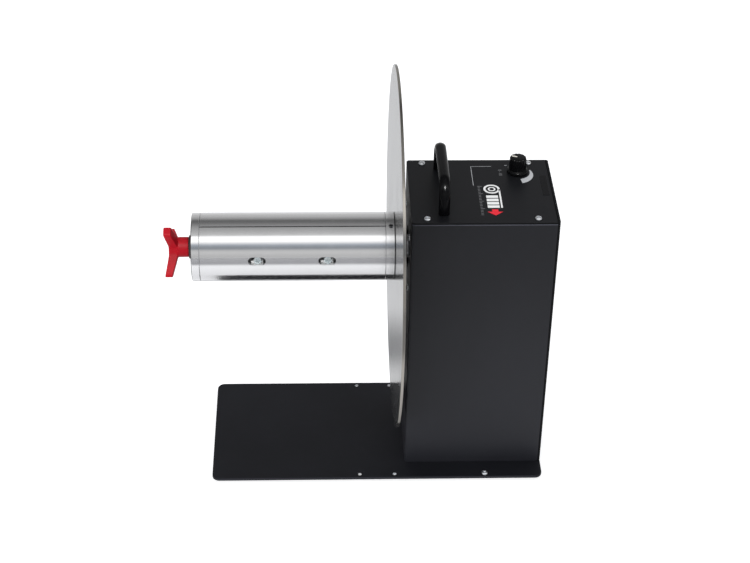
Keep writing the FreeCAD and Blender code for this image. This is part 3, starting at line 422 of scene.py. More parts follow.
class Recipe:
    """A node tree that is written as Python expressions."""

    def __init__(self, tree: bpy.types.NodeTree) -> None:
        """Empties the tree."""
        self.tree = tree
        tree.nodes.clear()

    def add(self, kind: str, settings: Mapping[str, object] | None = None,
            sockets: Mapping[Union[int, str], Value] | None = None,
            out: Union[int, str] = 0) -> Wire:
        """Adds any node.

        Args:
            kind: the node's type without its ShaderNode prefix.
            settings: its settings, with a ramp's stops as "stops".
            sockets: the value or wire of each input.
            out: the output to return.

        Returns:
            The chosen output.
        """
        node = self.tree.nodes.new("ShaderNode" + kind)
        for key, setting in (settings or {}).items():
            if key == "stops":
                self._fill(node.color_ramp, setting)
            else:
                setattr(node, key, setting)
        for key, value in (sockets or {}).items():
            if isinstance(value, Wire):
                self.tree.links.new(value.socket, node.inputs[key])
            elif isinstance(value, tuple) and len(value) == 3 and \
                    node.inputs[key].type == "RGBA":
                node.inputs[key].default_value = (*value, 1.0)
            else:
                node.inputs[key].default_value = value
        return Wire(self, node.outputs[out])

    @staticmethod
    def _fill(ramp: bpy.types.ColorRamp,
              stops: Sequence[tuple[float, Union[float, Colour]]]) -> None:
        """Sets a ramp's stops.

        Args:
            ramp: the ramp.
            stops: pairs of a place and a grey or colour.
        """
        while len(ramp.elements) > 1:
            ramp.elements.remove(ramp.elements[-1])
        for number, (place, tone) in enumerate(stops):
            stop = ramp.elements[0] if number == 0 else ramp.elements.new(place)
            stop.position = place
            stop.color = (tone, tone, tone, 1.0) if isinstance(tone, float) else (*tone, 1.0)

    def place(self) -> Wire:
        """The point on the object, in metres."""
        return self.add("TexCoord", out="Object")

    def part(self, point: Wire, axis: str) -> Wire:
        """One coordinate of a point."""
        return self.add("SeparateXYZ", None, {0: point}, axis)

    def stretched(self, point: Wire, scale: tuple[float, float, float]) -> Wire:
        """A point scaled along its axes."""
        return self.add("Mapping", None, {"Vector": point, "Scale": scale})

    def noise(self, point: Wire, scale: float, detail: float = 2.0) -> Wire:
        """Cloudy noise between 0 and 1, with its features per metre and its octaves."""
        return self.add("TexNoise", None, {"Vector": point, "Scale": scale, "Detail": detail})

    def lines(self, along: Wire, scale: float, detail: float) -> Wire:
        """Noise along one coordinate only, such as tool marks."""
        return self.add("TexNoise", {"noise_dimensions": "1D"},
                        {"W": along, "Scale": scale, "Detail": detail})

    def cells(self, point: Wire, scale: float) -> Wire:
        """Distance to the nearest of scattered points."""
        return self.add("TexVoronoi", None, {"Vector": point, "Scale": scale})

    def blend(self, mask: Value, below: Value, above: Value) -> Wire:
        """Mixes two colours by a mask."""
        return self.add("Mix", {"data_type": "RGBA"}, {0: mask, 6: below, 7: above}, 2)

    def band(self, along: Wire, ends: Span) -> Wire:
        """A mask that is one between two planes."""
        fine = 0.1 * MM
        return along.step(ends[0], ends[0] + fine) * along.step(ends[1], ends[1] - fine)

    def bump(self, height: Wire, depth: float, strength: float) -> Wire:
        """Normal of a fine relief, its depth in metres."""
        return self.add("Bump", None, {"Height": height, "Distance": depth,
                                       "Strength": strength})

    def surface(self, **sockets: Value) -> Wire:
        """The main shader, with underscores for the spaces of its sockets' names."""
        return self.add("BsdfPrincipled", None,
                        {key.replace("_", " "): value for key, value in sockets.items()})

    def radius(self, point: Wire) -> Wire:
        """Distance of a point from the spindle's axis."""
        y, z = self.part(point, "Y"), self.part(point, "Z") - SPINDLE_Z
        return (y * y + z * z) ** 0.5

    def rays(self) -> list[Wire]:
        """Masks of the rays that the camera sees, that are mirrored and that pass through."""
        return [self.add("LightPath", out=f"Is {kind} Ray")
                for kind in ("Camera", "Glossy", "Transmission")]

    def end(self, shader: Wire, kind: str = "OutputMaterial") -> None:
        """Links the shader to the tree's output."""
        node = self.tree.nodes.new("ShaderNode" + kind)
        self.tree.links.new(shader.socket, node.inputs["Surface"])


def tinted(colour: Colour, factor: float) -> Colour:
    """A colour made lighter or darker by a factor."""
    return tuple(min(1.0, part * factor) for part in colour)


@dataclass(frozen=True)
class Finish:
    """A surface finish that becomes one shared material."""

    name: str
    colour: Colour

    def lay(self, r: Recipe) -> Wire:
        """Writes the finish's nodes and returns its shader."""
        raise NotImplementedError

    def material(self) -> bpy.types.Material:
        """The finish as a material, made at its first use.

        Returns:
            The material.
        """
        made = bpy.data.materials.get("finish_" + self.name)
        if made is None:
            made = bpy.data.materials.new("finish_" + self.name)
            made.use_nodes = True
            made.diffuse_color = (*self.colour, 1.0)
            recipe = Recipe(made.node_tree)
            recipe.end(self.lay(recipe))
        return made

    def coat(self, *pieces: bpy.types.Object) -> None:
        """Puts the finish on each piece.

        Args:
            pieces: CAD nodes or new pieces.
        """
        for piece in pieces:
            if not piece.material_slots:
                piece.data.materials.append(None)
            for place in piece.material_slots:
                place.material = self.material()


@dataclass(frozen=True)
class PowderCoat(Finish):
    """Satin powder coat with a fine grain, faint clouding, a few dust specks and places of
    painted light.
    """

    roughness: float = 0.42
    grain: float = 1.0
    gleam: float = 0.25
    painted_light_axis: str = "Z"
    line: Span = NEVER
    painted_light_factor: float = 1.0
    painted_bounce: float = 0.0

    def lay(self, r: Recipe) -> Wire:
        """Writes the coat, made paler low down as painted floor bounce, with a band between
        two planes that is painted highlight where its factor is above one and painted shade
        where below.

        Args:
            r: the material's recipe.

        Returns:
            The shader.
        """
        spot = r.place()
        # Painted light: a band between two planes, made lighter by its factor as a painted
        # highlight or darker as painted shade.
        line = r.band(r.part(spot, self.painted_light_axis), self.line)
        cloud = r.noise(spot, 11.0, 4.0).step(0.3, 0.7)
        skin = r.noise(spot, 520.0, 2.0)
        grit = r.noise(spot, 1900.0, 1.0)
        dust = r.cells(spot, 260.0).step(0.09, 0.03) * r.noise(spot, 60.0).step(0.55, 0.7)
        rub = r.noise(r.stretched(spot, (1.0, 1.0, 0.15)), 90.0, 3.0).step(0.52, 0.78)
        base = r.blend(cloud * 0.7 + grit * 0.3, tinted(self.colour, 0.86),
                       tinted(self.colour, 1.14))
        base = r.blend(dust * 0.35, base, tinted(self.colour, 4.0))
        # Painted light: the coat is blended paler towards the bottom, standing in for light
        # bounced up from the floor.
        foot = r.part(spot, "Z").step(340.0 * MM, 60.0 * MM)
        base = r.blend(foot * self.painted_bounce, base, tinted(self.colour, 2.0))
        base = r.blend(line, base, tinted(self.colour, self.painted_light_factor))
        return r.surface(
            Base_Color=base, Specular_IOR_Level=self.gleam,
            Roughness=self.roughness + cloud * 0.05 - rub * 0.05 + grit * 0.04,
            Normal=r.bump(skin * 0.6 + grit * 0.4, 0.00006 * self.grain, 0.55))


@dataclass(frozen=True)
class Moulding(Finish):
    """Moulded plastic with a fine spark-eroded grain and slight flow marks."""

    roughness: float = 0.4
    grain: float = 1.0
    gleam: float = 0.4

    def lay(self, r: Recipe) -> Wire:
        """Writes the plastic.

        Args:
            r: the material's recipe.

        Returns:
            The shader.
        """
        spot = r.place()
        flow = r.noise(spot, 45.0, 3.0).step(0.3, 0.7)
        grain = r.noise(spot, 2600.0, 2.0)
        scuff = r.noise(r.stretched(spot, (1.0, 3.0, 1.0)), 300.0, 4.0).step(0.62, 0.8)
        base = r.blend(flow, tinted(self.colour, 0.93), tinted(self.colour, 1.07))
        base = r.blend(scuff * 0.12, base, tinted(self.colour, 1.6))
        return r.surface(
            Base_Color=base, Roughness=self.roughness + flow * 0.05 + scuff * 0.08,
            Specular_IOR_Level=self.gleam, Normal=r.bump(grain, 0.00004 * self.grain, 0.4))


@dataclass(frozen=True)
class TurnedMetal(Finish):
    """Polished metal turned about the spindle, with fine tool marks along it, and places of
    painted shade and painted highlight.
    """

    roughness: float = 0.13
    marks: float = 1.0
    lines: tuple[Span, ...] = ()
    dark: Span = NEVER
    painted_shade_factor: float = PAINTED_SHADE_TONE
    milled_inside: float = 0.0
    seats: tuple[Span, ...] = ()
    painted_light_below: float = 0.0
    painted_light_spans: tuple[Span, ...] = ()
    painted_light_colour: Colour = (0.97, 0.97, 0.97)

    def lay(self, r: Recipe) -> Wire:
        """Writes the metal, with painted shade between planes and between radii (the seats
        excepted), rougher inside the windows, and near-white non-metal patches low in the
        windows as painted highlight.

        Args:
            r: the material's recipe.

        Returns:
            The shader.
        """
        spot = r.place()
        along = r.part(spot, "X")
        tool = r.lines(along, 2600.0, 3.0)
        drift = r.lines(along, 90.0, 2.0)
        smear = r.noise(spot, 38.0, 4.0).step(0.4, 0.75)
        nick = r.noise(r.stretched(spot, (0.4, 4.0, 4.0)), 700.0, 2.0).step(0.7, 0.8)
        base = r.blend(drift * 0.6 + smear * 0.4, tinted(self.colour, 0.95), self.colour)
        base = r.blend(nick * 0.2, base, tinted(self.colour, 0.6))
        out = r.radius(spot)
        milled = out.step(self.milled_inside + 0.1 * MM, self.milled_inside)
        # Painted shade: surfaces between two radii, the seats excepted, are blended to a much
        # lower tone for the shade in recesses.
        inner = r.band(out, self.dark)
        for ends in self.seats:
            inner = inner * (1.0 - r.band(along, ends))
        base = r.blend(inner, base, tinted(self.colour, self.painted_shade_factor))
        # Painted shade: bands between planes along the spindle, at joints and edges, get the
        # painted shade tone.
        for ends in self.lines:
            base = r.blend(r.band(along, ends), base, tinted(self.colour, PAINTED_SHADE_TONE))
        metal = 1.0
        # Painted highlight: low window walls are painted near-white and not metal, for the
        # light they catch.
        if self.painted_light_spans:
            low = milled * r.part(spot, "Z").step(self.painted_light_below + 0.3 * MM, self.painted_light_below)
            for ends in self.painted_light_spans:
                patch = low * r.band(along, ends)
                base = r.blend(patch, base, self.painted_light_colour)
                metal = metal - patch
        return r.surface(
            Base_Color=base, Metallic=metal, Coat_Weight=0.6, Coat_Roughness=0.5,
            Roughness=self.roughness + tool * 0.04 + smear * 0.04 + nick * 0.1 + milled * 0.4,
            Normal=r.bump(tool * 0.8 + drift * 0.2, 0.0000035 * self.marks, 0.5))


@dataclass(frozen=True)
class PolishedSheet(Finish):
    """Polished sheet with rings of polish, a few smears, and a less bright brown rim that is a
    painted reflection.
    """

    roughness: float = 0.13
    edge_tint: float = 0.5
    rim_reflection_colour: Colour = (0.37, 0.35, 0.32)
    rim_start: float = 199.2 * MM

    def lay(self, r: Recipe) -> Wire:
        """Writes the sheet.

        Args:
            r: the material's recipe.

        Returns:
            The shader.
        """
        spot = r.place()
        out = r.radius(spot)
        rings = r.lines(out, 1500.0, 3.0)
        haze = r.lines(out, 45.0, 2.0)
        smear = r.noise(spot, 16.0, 4.0).step(0.45, 0.75)
        speck = r.cells(spot, 120.0).step(0.06, 0.02) * r.noise(spot, 30.0).step(0.5, 0.65)
        rim = out.step(self.rim_start, self.rim_start + 0.4 * MM)
        base = r.blend(haze, tinted(self.colour, 0.95), self.colour)
        base = r.blend(speck * 0.3, base, tinted(self.colour, 0.5))
        # Painted reflection: the rim's brown tone stands in for what the rim mirrors.
        base = r.blend(rim, base, self.rim_reflection_colour)
        return r.surface(
            Base_Color=base, Metallic=1.0, Specular_Tint=(self.edge_tint,) * 3,
            Coat_Weight=0.3, Coat_Roughness=0.6,
            Roughness=self.roughness + smear * 0.05 + rings * 0.03 + speck * 0.2,
            Normal=r.bump(rings, 0.0000015, 0.3))


@dataclass(frozen=True)
class PlatedSteel(Finish):
    """Zinc-plated or ground steel, with passivation clouds and fine scratches."""

    roughness: float = 0.25
    clouds: float = 1.0
    painted_shade_above: float = OUT_OF_REACH

    def lay(self, r: Recipe) -> Wire:
        """Writes the plating, with painted shade on faces above a height.

        Args:
            r: the material's recipe.

        Returns:
            The shader.
        """
        spot = r.place()
        cloud = r.noise(spot, 220.0, 3.0).step(0.3, 0.7)
        scratch = r.noise(r.stretched(spot, (1.0, 9.0, 1.0)), 900.0, 3.0).step(0.55, 0.8)
        cool = (self.colour[0] * 0.93, self.colour[1] * 0.97, self.colour[2] * 1.03)
        base = r.blend(cloud * self.clouds, self.colour, tuple(min(1.0, c) for c in cool))
        base = r.blend(scratch * 0.2, base, tinted(self.colour, 0.7))
        # Painted shade: faces above the given height get a much lower tone.
        dark = r.part(spot, "Z").step(self.painted_shade_above - 0.06 * MM, self.painted_shade_above - 0.02 * MM)
        base = r.blend(dark, base, tinted(self.colour, PAINTED_SHADE_TONE))
        return r.surface(
            Base_Color=base, Metallic=1.0,
            Roughness=self.roughness + cloud * 0.1 + scratch * 0.12,
            Normal=r.bump(scratch, 0.00001, 0.4))


@dataclass(frozen=True)
class Casting(Finish):
    """Painted casting with a coarse sand skin."""

    roughness: float = 0.6

    def lay(self, r: Recipe) -> Wire:
        """Writes the casting.

        Args:
            r: the material's recipe.

        Returns:
            The shader.
        """
        spot = r.place()
        sand = r.noise(spot, 800.0, 3.0)
        pits = r.cells(spot, 500.0).step(0.3, 0.1)
        base = r.blend(sand, tinted(self.colour, 0.75), tinted(self.colour, 1.25))
        return r.surface(Base_Color=base, Roughness=self.roughness + pits * 0.15,
                         Metallic=0.35, Normal=r.bump(sand - pits * 0.5, 0.00025, 0.7))


@dataclass(frozen=True)
class Rubber(Finish):
    """Matt rubber with a dusty bloom."""

    roughness: float = 0.78

    def lay(self, r: Recipe) -> Wire:
        """Writes the rubber.

        Args:
            r: the material's recipe.

        Returns:
            The shader.
        """
        spot = r.place()
        bloom = r.noise(spot, 70.0, 4.0).step(0.4, 0.75)
        pores = r.noise(spot, 1800.0, 2.0)
        base = r.blend(bloom * 0.5, self.colour, tinted(self.colour, 2.2))
        return r.surface(Base_Color=base, Roughness=self.roughness + bloom * 0.1,
                         Specular_IOR_Level=0.35, Normal=r.bump(pores, 0.00008, 0.5))


@dataclass(frozen=True)
class ScreenInk(Finish):
    """Screen-printed ink, thin and a little uneven."""

    roughness: float = 0.5

    def lay(self, r: Recipe) -> Wire:
        """Writes the ink.

        Args:
            r: the material's recipe.

        Returns:
            The shader.
        """
        spot = r.place()
        mesh = r.noise(spot, 3200.0, 1.0)
        thin = r.noise(spot, 240.0, 3.0).step(0.55, 0.85)
        base = r.blend(thin * 0.25, self.colour, tinted(self.colour, 0.7))
        return r.surface(Base_Color=base, Roughness=self.roughness + mesh * 0.12,
                         Normal=r.bump(mesh, 0.00002, 0.4))


@dataclass(frozen=True)
class CircuitBoard(Finish):
    """Green solder mask with paler copper runs under it."""

    def lay(self, r: Recipe) -> Wire:
        """Writes the board.

        Args:
            r: the material's recipe.

        Returns:
            The shader.
        """
        spot = r.place()
        x = (r.part(spot, "X") * 2100.0).sine()
        z = (r.part(spot, "Z") * 2600.0).sine()
        runs = (x * z).step(0.15, 0.3) * r.noise(spot, 120.0).step(0.42, 0.5)
        base = r.blend(runs, self.colour, tinted(self.colour, 1.8))
        return r.surface(Base_Color=base, Roughness=0.35 + runs * 0.05, Coat_Weight=0.4,
                         Normal=r.bump(runs, 0.00003, 0.5))


ROOF_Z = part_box("housing_shell")[1][2]
TOP_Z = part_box("top_panel")[1][2]
PANEL_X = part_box("rear_panel")[0][0]
PLATE_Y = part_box("base_plate")[0][1]
PLATE_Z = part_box("base_plate")[1][2]
CAP_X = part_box("chuck_front_cap")[0][0]
DISC_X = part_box("flange_disc")[0][0]

# Painted highlight: a pale band just under the roof for the housing's top bend. Painted light:
# paler low down for light bounced up from the floor.
BLACK_COAT = PowderCoat("black_powder", (0.0126, 0.013, 0.0162), 0.4,
                        line=(ROOF_Z - 1.3 * MM, ROOF_Z - 0.1 * MM), painted_light_factor=6.0,
                        painted_bounce=0.42)
# Painted shade: a darker copy of the black coat for the top cover, which gets more light from
# above, with its edge below the top rim darker still for the seam's shade.
SHADED_COVER_COAT = PowderCoat("black_cover", (0.0083, 0.0086, 0.0104), 0.36, 1.0, 0.14,
                        line=(ROOF_Z - MM, TOP_Z - 0.5 * MM), painted_light_factor=0.3)
# Painted shade: a darker band on the rear panel's front edge for the seam's shade.
PANEL_COAT = PowderCoat("black_panel", (0.0075, 0.0078, 0.0092), 0.55, 1.0, 0.08,
                        "X", (PANEL_X - MM, PANEL_X + 0.8 * MM), 0.2)
# Painted highlight: the plate's front edge is paler where it faces the light.
PLATE_COAT = PowderCoat("black_plate", (0.0102, 0.0106, 0.0136), 0.45, 1.0, 0.17,
                        "Y", (PLATE_Y - MM, PLATE_Y + 0.35 * MM), 2.3)
BRACKET_COAT = PowderCoat("grey_bracket", (0.09, 0.092, 0.095), 0.5, 1.6)
# Painted shade: a lower tone inside the shell, nearer than 35 mm to the axis, except on the
# pad seats. Painted highlight: near-white, non-metal patches on the low window walls.
CHUCK_METAL = TurnedMetal("turned_chuck", (0.83, 0.83, 0.84), 0.118, 9.0,
                          dark=(0.0, 35.0 * MM), painted_shade_factor=0.2,
                          milled_inside=37.7 * MM,
                          seats=((-42.4 * MM, -31.0 * MM), (-118.8 * MM, -107.4 * MM)),
                          painted_light_below=267.6 * MM,
                          painted_light_spans=((-44.2 * MM, -30.7 * MM), (-120.6 * MM, -107.1 * MM)))
# Painted shade: a band where the ring meets the disc, and a lower tone between 34.05 and 37.75
# mm from the axis, in the set-screw hole and the groove.
RING_METAL = TurnedMetal("turned_ring", (0.83, 0.83, 0.84), 0.1, 6.0,
                         ((DISC_X - 0.9 * MM, DISC_X + MM),), (34.05 * MM, 37.75 * MM))
# Painted shade: a band over the nose's front face and the start of its rounded edge.
CAP_METAL = TurnedMetal("turned_cap", (0.83, 0.83, 0.84), 0.075, 4.0,
                        ((CAP_X - MM, CAP_X + 0.85 * MM),))
PULLEY_METAL = TurnedMetal("turned_pulley", (0.66, 0.66, 0.67), 0.3, 3.0)
HUB_METAL = TurnedMetal("turned_hub", (0.72, 0.71, 0.7), 0.22, 2.0)
# Painted reflection: the disc's rim gets a brown, less bright tone.
DISC_METAL = PolishedSheet("polished_disc", (0.78, 0.78, 0.775))
ZINC = PlatedSteel("bright_zinc", (0.88, 0.885, 0.89), 0.24)
SCREW_ZINC = PlatedSteel("pale_zinc", (0.84, 0.9, 0.89), 0.22)
# Painted shade: the inserts' tops, above the plate, get a much lower tone round their pale
# bores.
INSERT_ZINC = PlatedSteel("insert_zinc", (0.95, 0.95, 0.95), 0.5, 1.0, PLATE_Z)
STEEL = PlatedSteel("ground_steel", (0.56, 0.56, 0.57), 0.28, 0.5)
BLACK_STEEL = PlatedSteel("black_oxide", (0.06, 0.06, 0.065), 0.4)
CAN_STEEL = PlatedSteel("motor_steel", (0.42, 0.42, 0.43), 0.4, 0.6)
IRON = Casting("bearing_casting", (0.045, 0.046, 0.05))
FOOT_RUBBER = Rubber("foot_rubber", (0.02, 0.02, 0.02))
BELT_RUBBER = Rubber("belt_rubber", (0.014, 0.014, 0.015), 0.62)
RED_PLASTIC = Moulding("red_knob", (0.45, 0.007, 0.016), 0.4, gleam=0.1)
BLACK_PLASTIC = Moulding("black_moulding", (0.012, 0.012, 0.013), 0.42)
HANDLE_PLASTIC = Moulding("handle_moulding", (0.0035, 0.0035, 0.0042), 0.16, 0.3, 0.11)
DIAL_PLASTIC = Moulding("dial_moulding", (0.0032, 0.0032, 0.0038), 0.2, 0.4, 0.12)
WASHER_PLASTIC = Moulding("washer_moulding", (0.035, 0.034, 0.033), 0.5)
GLOSS_PLATE = Moulding("gloss_plate", (0.004, 0.004, 0.005), 0.14, 0.3, 0.12)
WHITE_INK = ScreenInk("white_ink", (0.86, 0.86, 0.86))
GREY_INK = ScreenInk("grey_ink", (0.47, 0.48, 0.5))
DIM_INK = ScreenInk("dim_ink", (0.2, 0.2, 0.21))
RED_INK = ScreenInk("red_ink", (0.78, 0.012, 0.03))
CREAM_INK = ScreenInk("cream_ink", (0.72, 0.69, 0.62), 0.35)
BOARD = CircuitBoard("solder_mask", (0.012, 0.09, 0.035))

CARRIED_OVER: dict[Finish, tuple[str, ...]] = {
    BLACK_COAT: ("housing_shell",),
    SHADED_COVER_COAT: ("top_panel",),
    PANEL_COAT: ("rear_panel",),
    PLATE_COAT: ("base_plate",),
    BRACKET_COAT: ("drive_bracket",),
    PULLEY_METAL: ("driven_pulley", "motor_pulley"),
    HUB_METAL: ("disc_hub",),
    INSERT_ZINC: ("plate_inserts",),
    ZINC: ("edge_screws", "base_screws", "top_panel_screws",
           "rear_panel_screws", "handle_screws", "bearing_housing_screws", "motor_screws",
           "disc_screws", "potentiometer_nut", "inlet_nut", "board_standoffs",
           "release_springs"),
    STEEL: ("spindle_shaft", "bearing_inner_rings", "bearing_outer_rings", "wedge_sleeve",
            "draw_nut", "draw_stud", "motor_shaft", "potentiometer_shaft", "motor_gearbox",
            "potentiometer"),
    CAN_STEEL: ("motor_can",),
    BLACK_STEEL: ("set_screws", "cross_pin", "shaft_clip"),
    IRON: ("front_bearing_housing", "rear_bearing_housing"),
    FOOT_RUBBER: ("rubber_feet",),
    BELT_RUBBER: ("drive_belt",),
    BLACK_PLASTIC: ("switch_body", "switch_rocker", "power_inlet", "board_components"),
    WASHER_PLASTIC: ("thrust_washer",),
    BOARD: ("control_board",),
    CHUCK_METAL: ("chuck_shell_1", "chuck_shell_2", "chuck_shell_3"),
    RING_METAL: ("chuck_rear_ring",),
    CAP_METAL: ("chuck_front_cap",),
    DISC_METAL: ("flange_disc",),
    RED_PLASTIC: ("clamp_knob",),
    HANDLE_PLASTIC: ("carry_handle",),
    DIAL_PLASTIC: ("tension_knob",),
}


@dataclass
class Studio:
    """Camera at the photo's viewing angle, pale floor, soft light and pale surroundings."""

    eye: Vector = field(default_factory=lambda: Vector((-0.0535486, -1.6241432, 1.3595644)))
    yaw: float = 0.0431632
    dip: float = 0.6122157
    roll: float = 0.0189328
    lens: float = 84.88
    floor_size: float = 9.0
    aim: Vector = field(default_factory=lambda: Vector((0, 0, 0.2)))

    def place_camera(self) -> None:
        """Sets the camera up from its direction, dip and roll."""
        ahead = Vector((math.sin(self.yaw) * math.cos(self.dip),
                        math.cos(self.yaw) * math.cos(self.dip), -math.sin(self.dip)))
        level = Vector((math.cos(self.yaw), -math.sin(self.yaw), 0.0))
        rise = level.cross(ahead)
        right = level * math.cos(self.roll) + rise * math.sin(self.roll)
        up = rise * math.cos(self.roll) - level * math.sin(self.roll)
        lens = bpy.data.cameras.new("photo_camera")
        lens.lens = self.lens
        lens.sensor_width = 36.0
        lens.clip_end = 50.0
        camera = bpy.data.objects.new("photo_camera", lens)
        bpy.context.scene.collection.objects.link(camera)
        turn = Matrix((right, up, -ahead)).transposed().to_4x4()
        camera.matrix_world = Matrix.Translation(self.eye) @ turn
        bpy.context.scene.camera = camera

    def lay_floor(self) -> None:
        """Adds the floor, white to the camera but with the object's soft shadow, and for
        mirrored rays greyer in front as a painted reflection of a dark card and in a band
        behind as the object's painted shadow.
        """
        Bench.clear()
        bpy.ops.mesh.primitive_plane_add(size=self.floor_size, location=(0, 0, -0.0002))
        bpy.ops.object.mode_set(mode="EDIT")
        bpy.ops.mesh.subdivide(number_cuts=8)
        floor = Bench.done("studio_floor")
        paint = bpy.data.materials.new("studio_floor")
        paint.use_nodes = True
        r = Recipe(paint.node_tree)
        depth = r.part(r.place(), "Y")
        # Painted light for mirrored rays only: greyer in front as a painted reflection of a
        # dark card, and in a band behind the object as its painted shadow.
        front = depth.step(-0.4, -0.62) * depth.step(-4.0, -1.6)
        behind = depth.step(0.1, 0.16) * depth.step(0.26, 0.17)
        painted_floor_shade = front + behind * 0.85
        seen, bounced, through = r.rays()
        cloth = r.add("BsdfDiffuse", None, {
            "Color": r.blend(bounced * painted_floor_shade, (0.74, 0.74, 0.75), (0.33, 0.33, 0.34))})
        glow = seen * 0.62 + bounced * (0.25 - painted_floor_shade * 0.25) + through * 0.4
        shine = r.add("Emission", None, {"Color": (1.0, 1.0, 1.0), "Strength": glow})
        r.end(r.add("AddShader", None, {0: cloth, 1: shine}))
        floor.data.materials.append(paint)

    def wrap_world(self) -> None:
        """White behind the object, soft daylight on it, and panels of light to reflect."""
        world = bpy.data.worlds.new("studio_world")
        world.use_nodes = True
        bpy.context.scene.world = world
        r = Recipe(world.node_tree)
        ray = r.add("TexCoord", out="Generated")
        height = r.part(ray, "Z")
        behind = r.part(ray, "Y")
        turn = height.angle_over(behind * -1.0) * (1 / (2 * math.pi)) + 0.5
        panels = r.add("ValToRGB", {"stops": [
            (0.0, 0.8), (0.46, 0.8), (0.5, 0.54), (0.52, 0.61), (0.539, 0.65), (0.557, 0.61),
            (0.576, (0.26, 0.28, 0.31)), (0.594, (0.31, 0.34, 0.37)),
            (0.612, (0.46, 0.5, 0.56)), (0.631, 1.05), (0.65, 1.5),
            (0.684, 1.5), (0.698, 0.62), (0.727, 0.52), (0.748, 0.45), (0.769, 0.39),
            (0.791, 0.32), (0.814, 0.24), (0.839, 0.15), (0.866, 0.13), (0.896, 0.36),
            (0.93, 0.52), (0.972, 0.6), (1.0, 0.8)]}, {0: turn})
        sky = r.add("Background", None, {"Color": (0.96, 0.98, 1.0), "Strength": 0.55})
        mirror = r.add("Background", None, {"Color": panels, "Strength": 1.0})
        white = r.add("Background", None, {"Color": (1.0, 1.0, 1.0), "Strength": 1.0})
        seen, bounced, through = r.rays()
        mixed = r.add("MixShader", None, {0: bounced, 1: sky, 2: mirror})
        whole = r.add("MixShader", None, {0: seen + through, 1: mixed, 2: white})
        r.end(whole, "OutputWorld")

    def hang_lamp(self, name: str, spot: Sequence[float], size: Span, power: float
                  ) -> bpy.types.Object:
        """Hangs one softbox that lights without a reflection of its own.

        Args:
            name: its name.
            spot: where it hangs.
            size: its sides.
            power: watts.

        Returns:
            The lamp's object.
        """
        at = Vector(spot)
        lamp = bpy.data.lights.new(name, "AREA")
        lamp.shape = "RECTANGLE"
        lamp.size, lamp.size_y = size
        lamp.energy = power
        hung = bpy.data.objects.new(name, lamp)
        hung.visible_glossy = False
        bpy.context.scene.collection.objects.link(hung)
        hung.matrix_world = Matrix.Translation(at) @ \
            (at - self.aim).to_track_quat("Z", "Y").to_matrix().to_4x4()
        return hung

    def add_glints(self, *names: str) -> None:
        """Hangs the small bright lamp that glints on the glossy mouldings.

        Args:
            names: the pieces that it reaches.
        """
        lamp = self.hang_lamp("glint_lamp", (0.26, -1.41, 2.08), (0.45, 0.5), 75.0)
        lamp.visible_glossy = True
        lamp.visible_diffuse = False
        reached = bpy.data.collections.new("glint_reach")
        for name in names:
            reached.objects.link(bpy.data.objects[name])
        lamp.light_linking.receiver_collection = reached

    def build(self) -> None:
        """Sets the whole studio up."""
        self.place_camera()
        self.lay_floor()
        self.wrap_world()
        self.hang_lamp("key_softbox", (-0.8, -1.7, 1.2), (1.2, 0.9), 25.0)
        self.hang_lamp("top_softbox", (0.5, 0.6, 2.2), (1.4, 1.4), 16.0)
        bpy.context.scene.view_settings.view_transform = "Standard"


def arc(centre: Point, radius: float, first: float, last: float, steps: int) -> list[Point]:
    """Points on an arc, from one angle to another.

    Args:
        centre: the arc's centre.
        radius: its radius.
        first: the first angle in degrees.
        last: the last angle in degrees.
        steps: how many chords.

    Returns:
        The points, both ends included.
    """
    angles = [math.radians(first + (last - first) * k / steps) for k in range(steps + 1)]
    return [(centre[0] + radius * math.cos(a), centre[1] + radius * math.sin(a))
            for a in angles]


def level(points: Sequence[Point], height: float) -> list[Vector]:
    """Lays flat points at a height."""
    return [Vector((x, y, height)) for x, y in points]


def mount(piece: bpy.types.Object, finish: Finish, body: str, slot: str, *nodes: str) -> None:
    """Finishes a new piece, fixes it to its body and reports it.

    Args:
        piece: the new piece.
        finish: its finish.
        body: the body that carries it.
        slot: the record's material slot; not used.
        nodes: the CAD nodes that it stands for.
    """
    finish.coat(piece)
    if nodes:
        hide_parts(*nodes)
    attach(piece, body)
    log.info("%s: %s, on %s", finish.name, piece.name, body)


@dataclass
class FlangeDisc:
    """The large polished disc behind the chuck."""

    bore: float = 12.52 * MM
    edge: float = 0.45 * MM

    def build(self) -> None:
        """Spins the disc with a rounded rim."""
        low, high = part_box("flange_disc")
        radius = (high[2] - low[2]) / 2
        thick = high[0] - low[0]
        edge = self.edge
        rim = [(0.0, radius - 2 * edge),
               *arc((edge, radius - edge), edge, 180.0, 90.0, 4), (2 * edge, radius)]
        far = [(thick - along, out) for along, out in reversed(rim)]
        disc = Bench.turned("disc_sheet", [(0.0, self.bore), *rim, *far, (thick, self.bore)],
                            Vector((low[0], 0, SPINDLE_Z)), steps=360)
        mount(disc, DISC_METAL, "spindle", "polished_aluminium", "flange_disc")


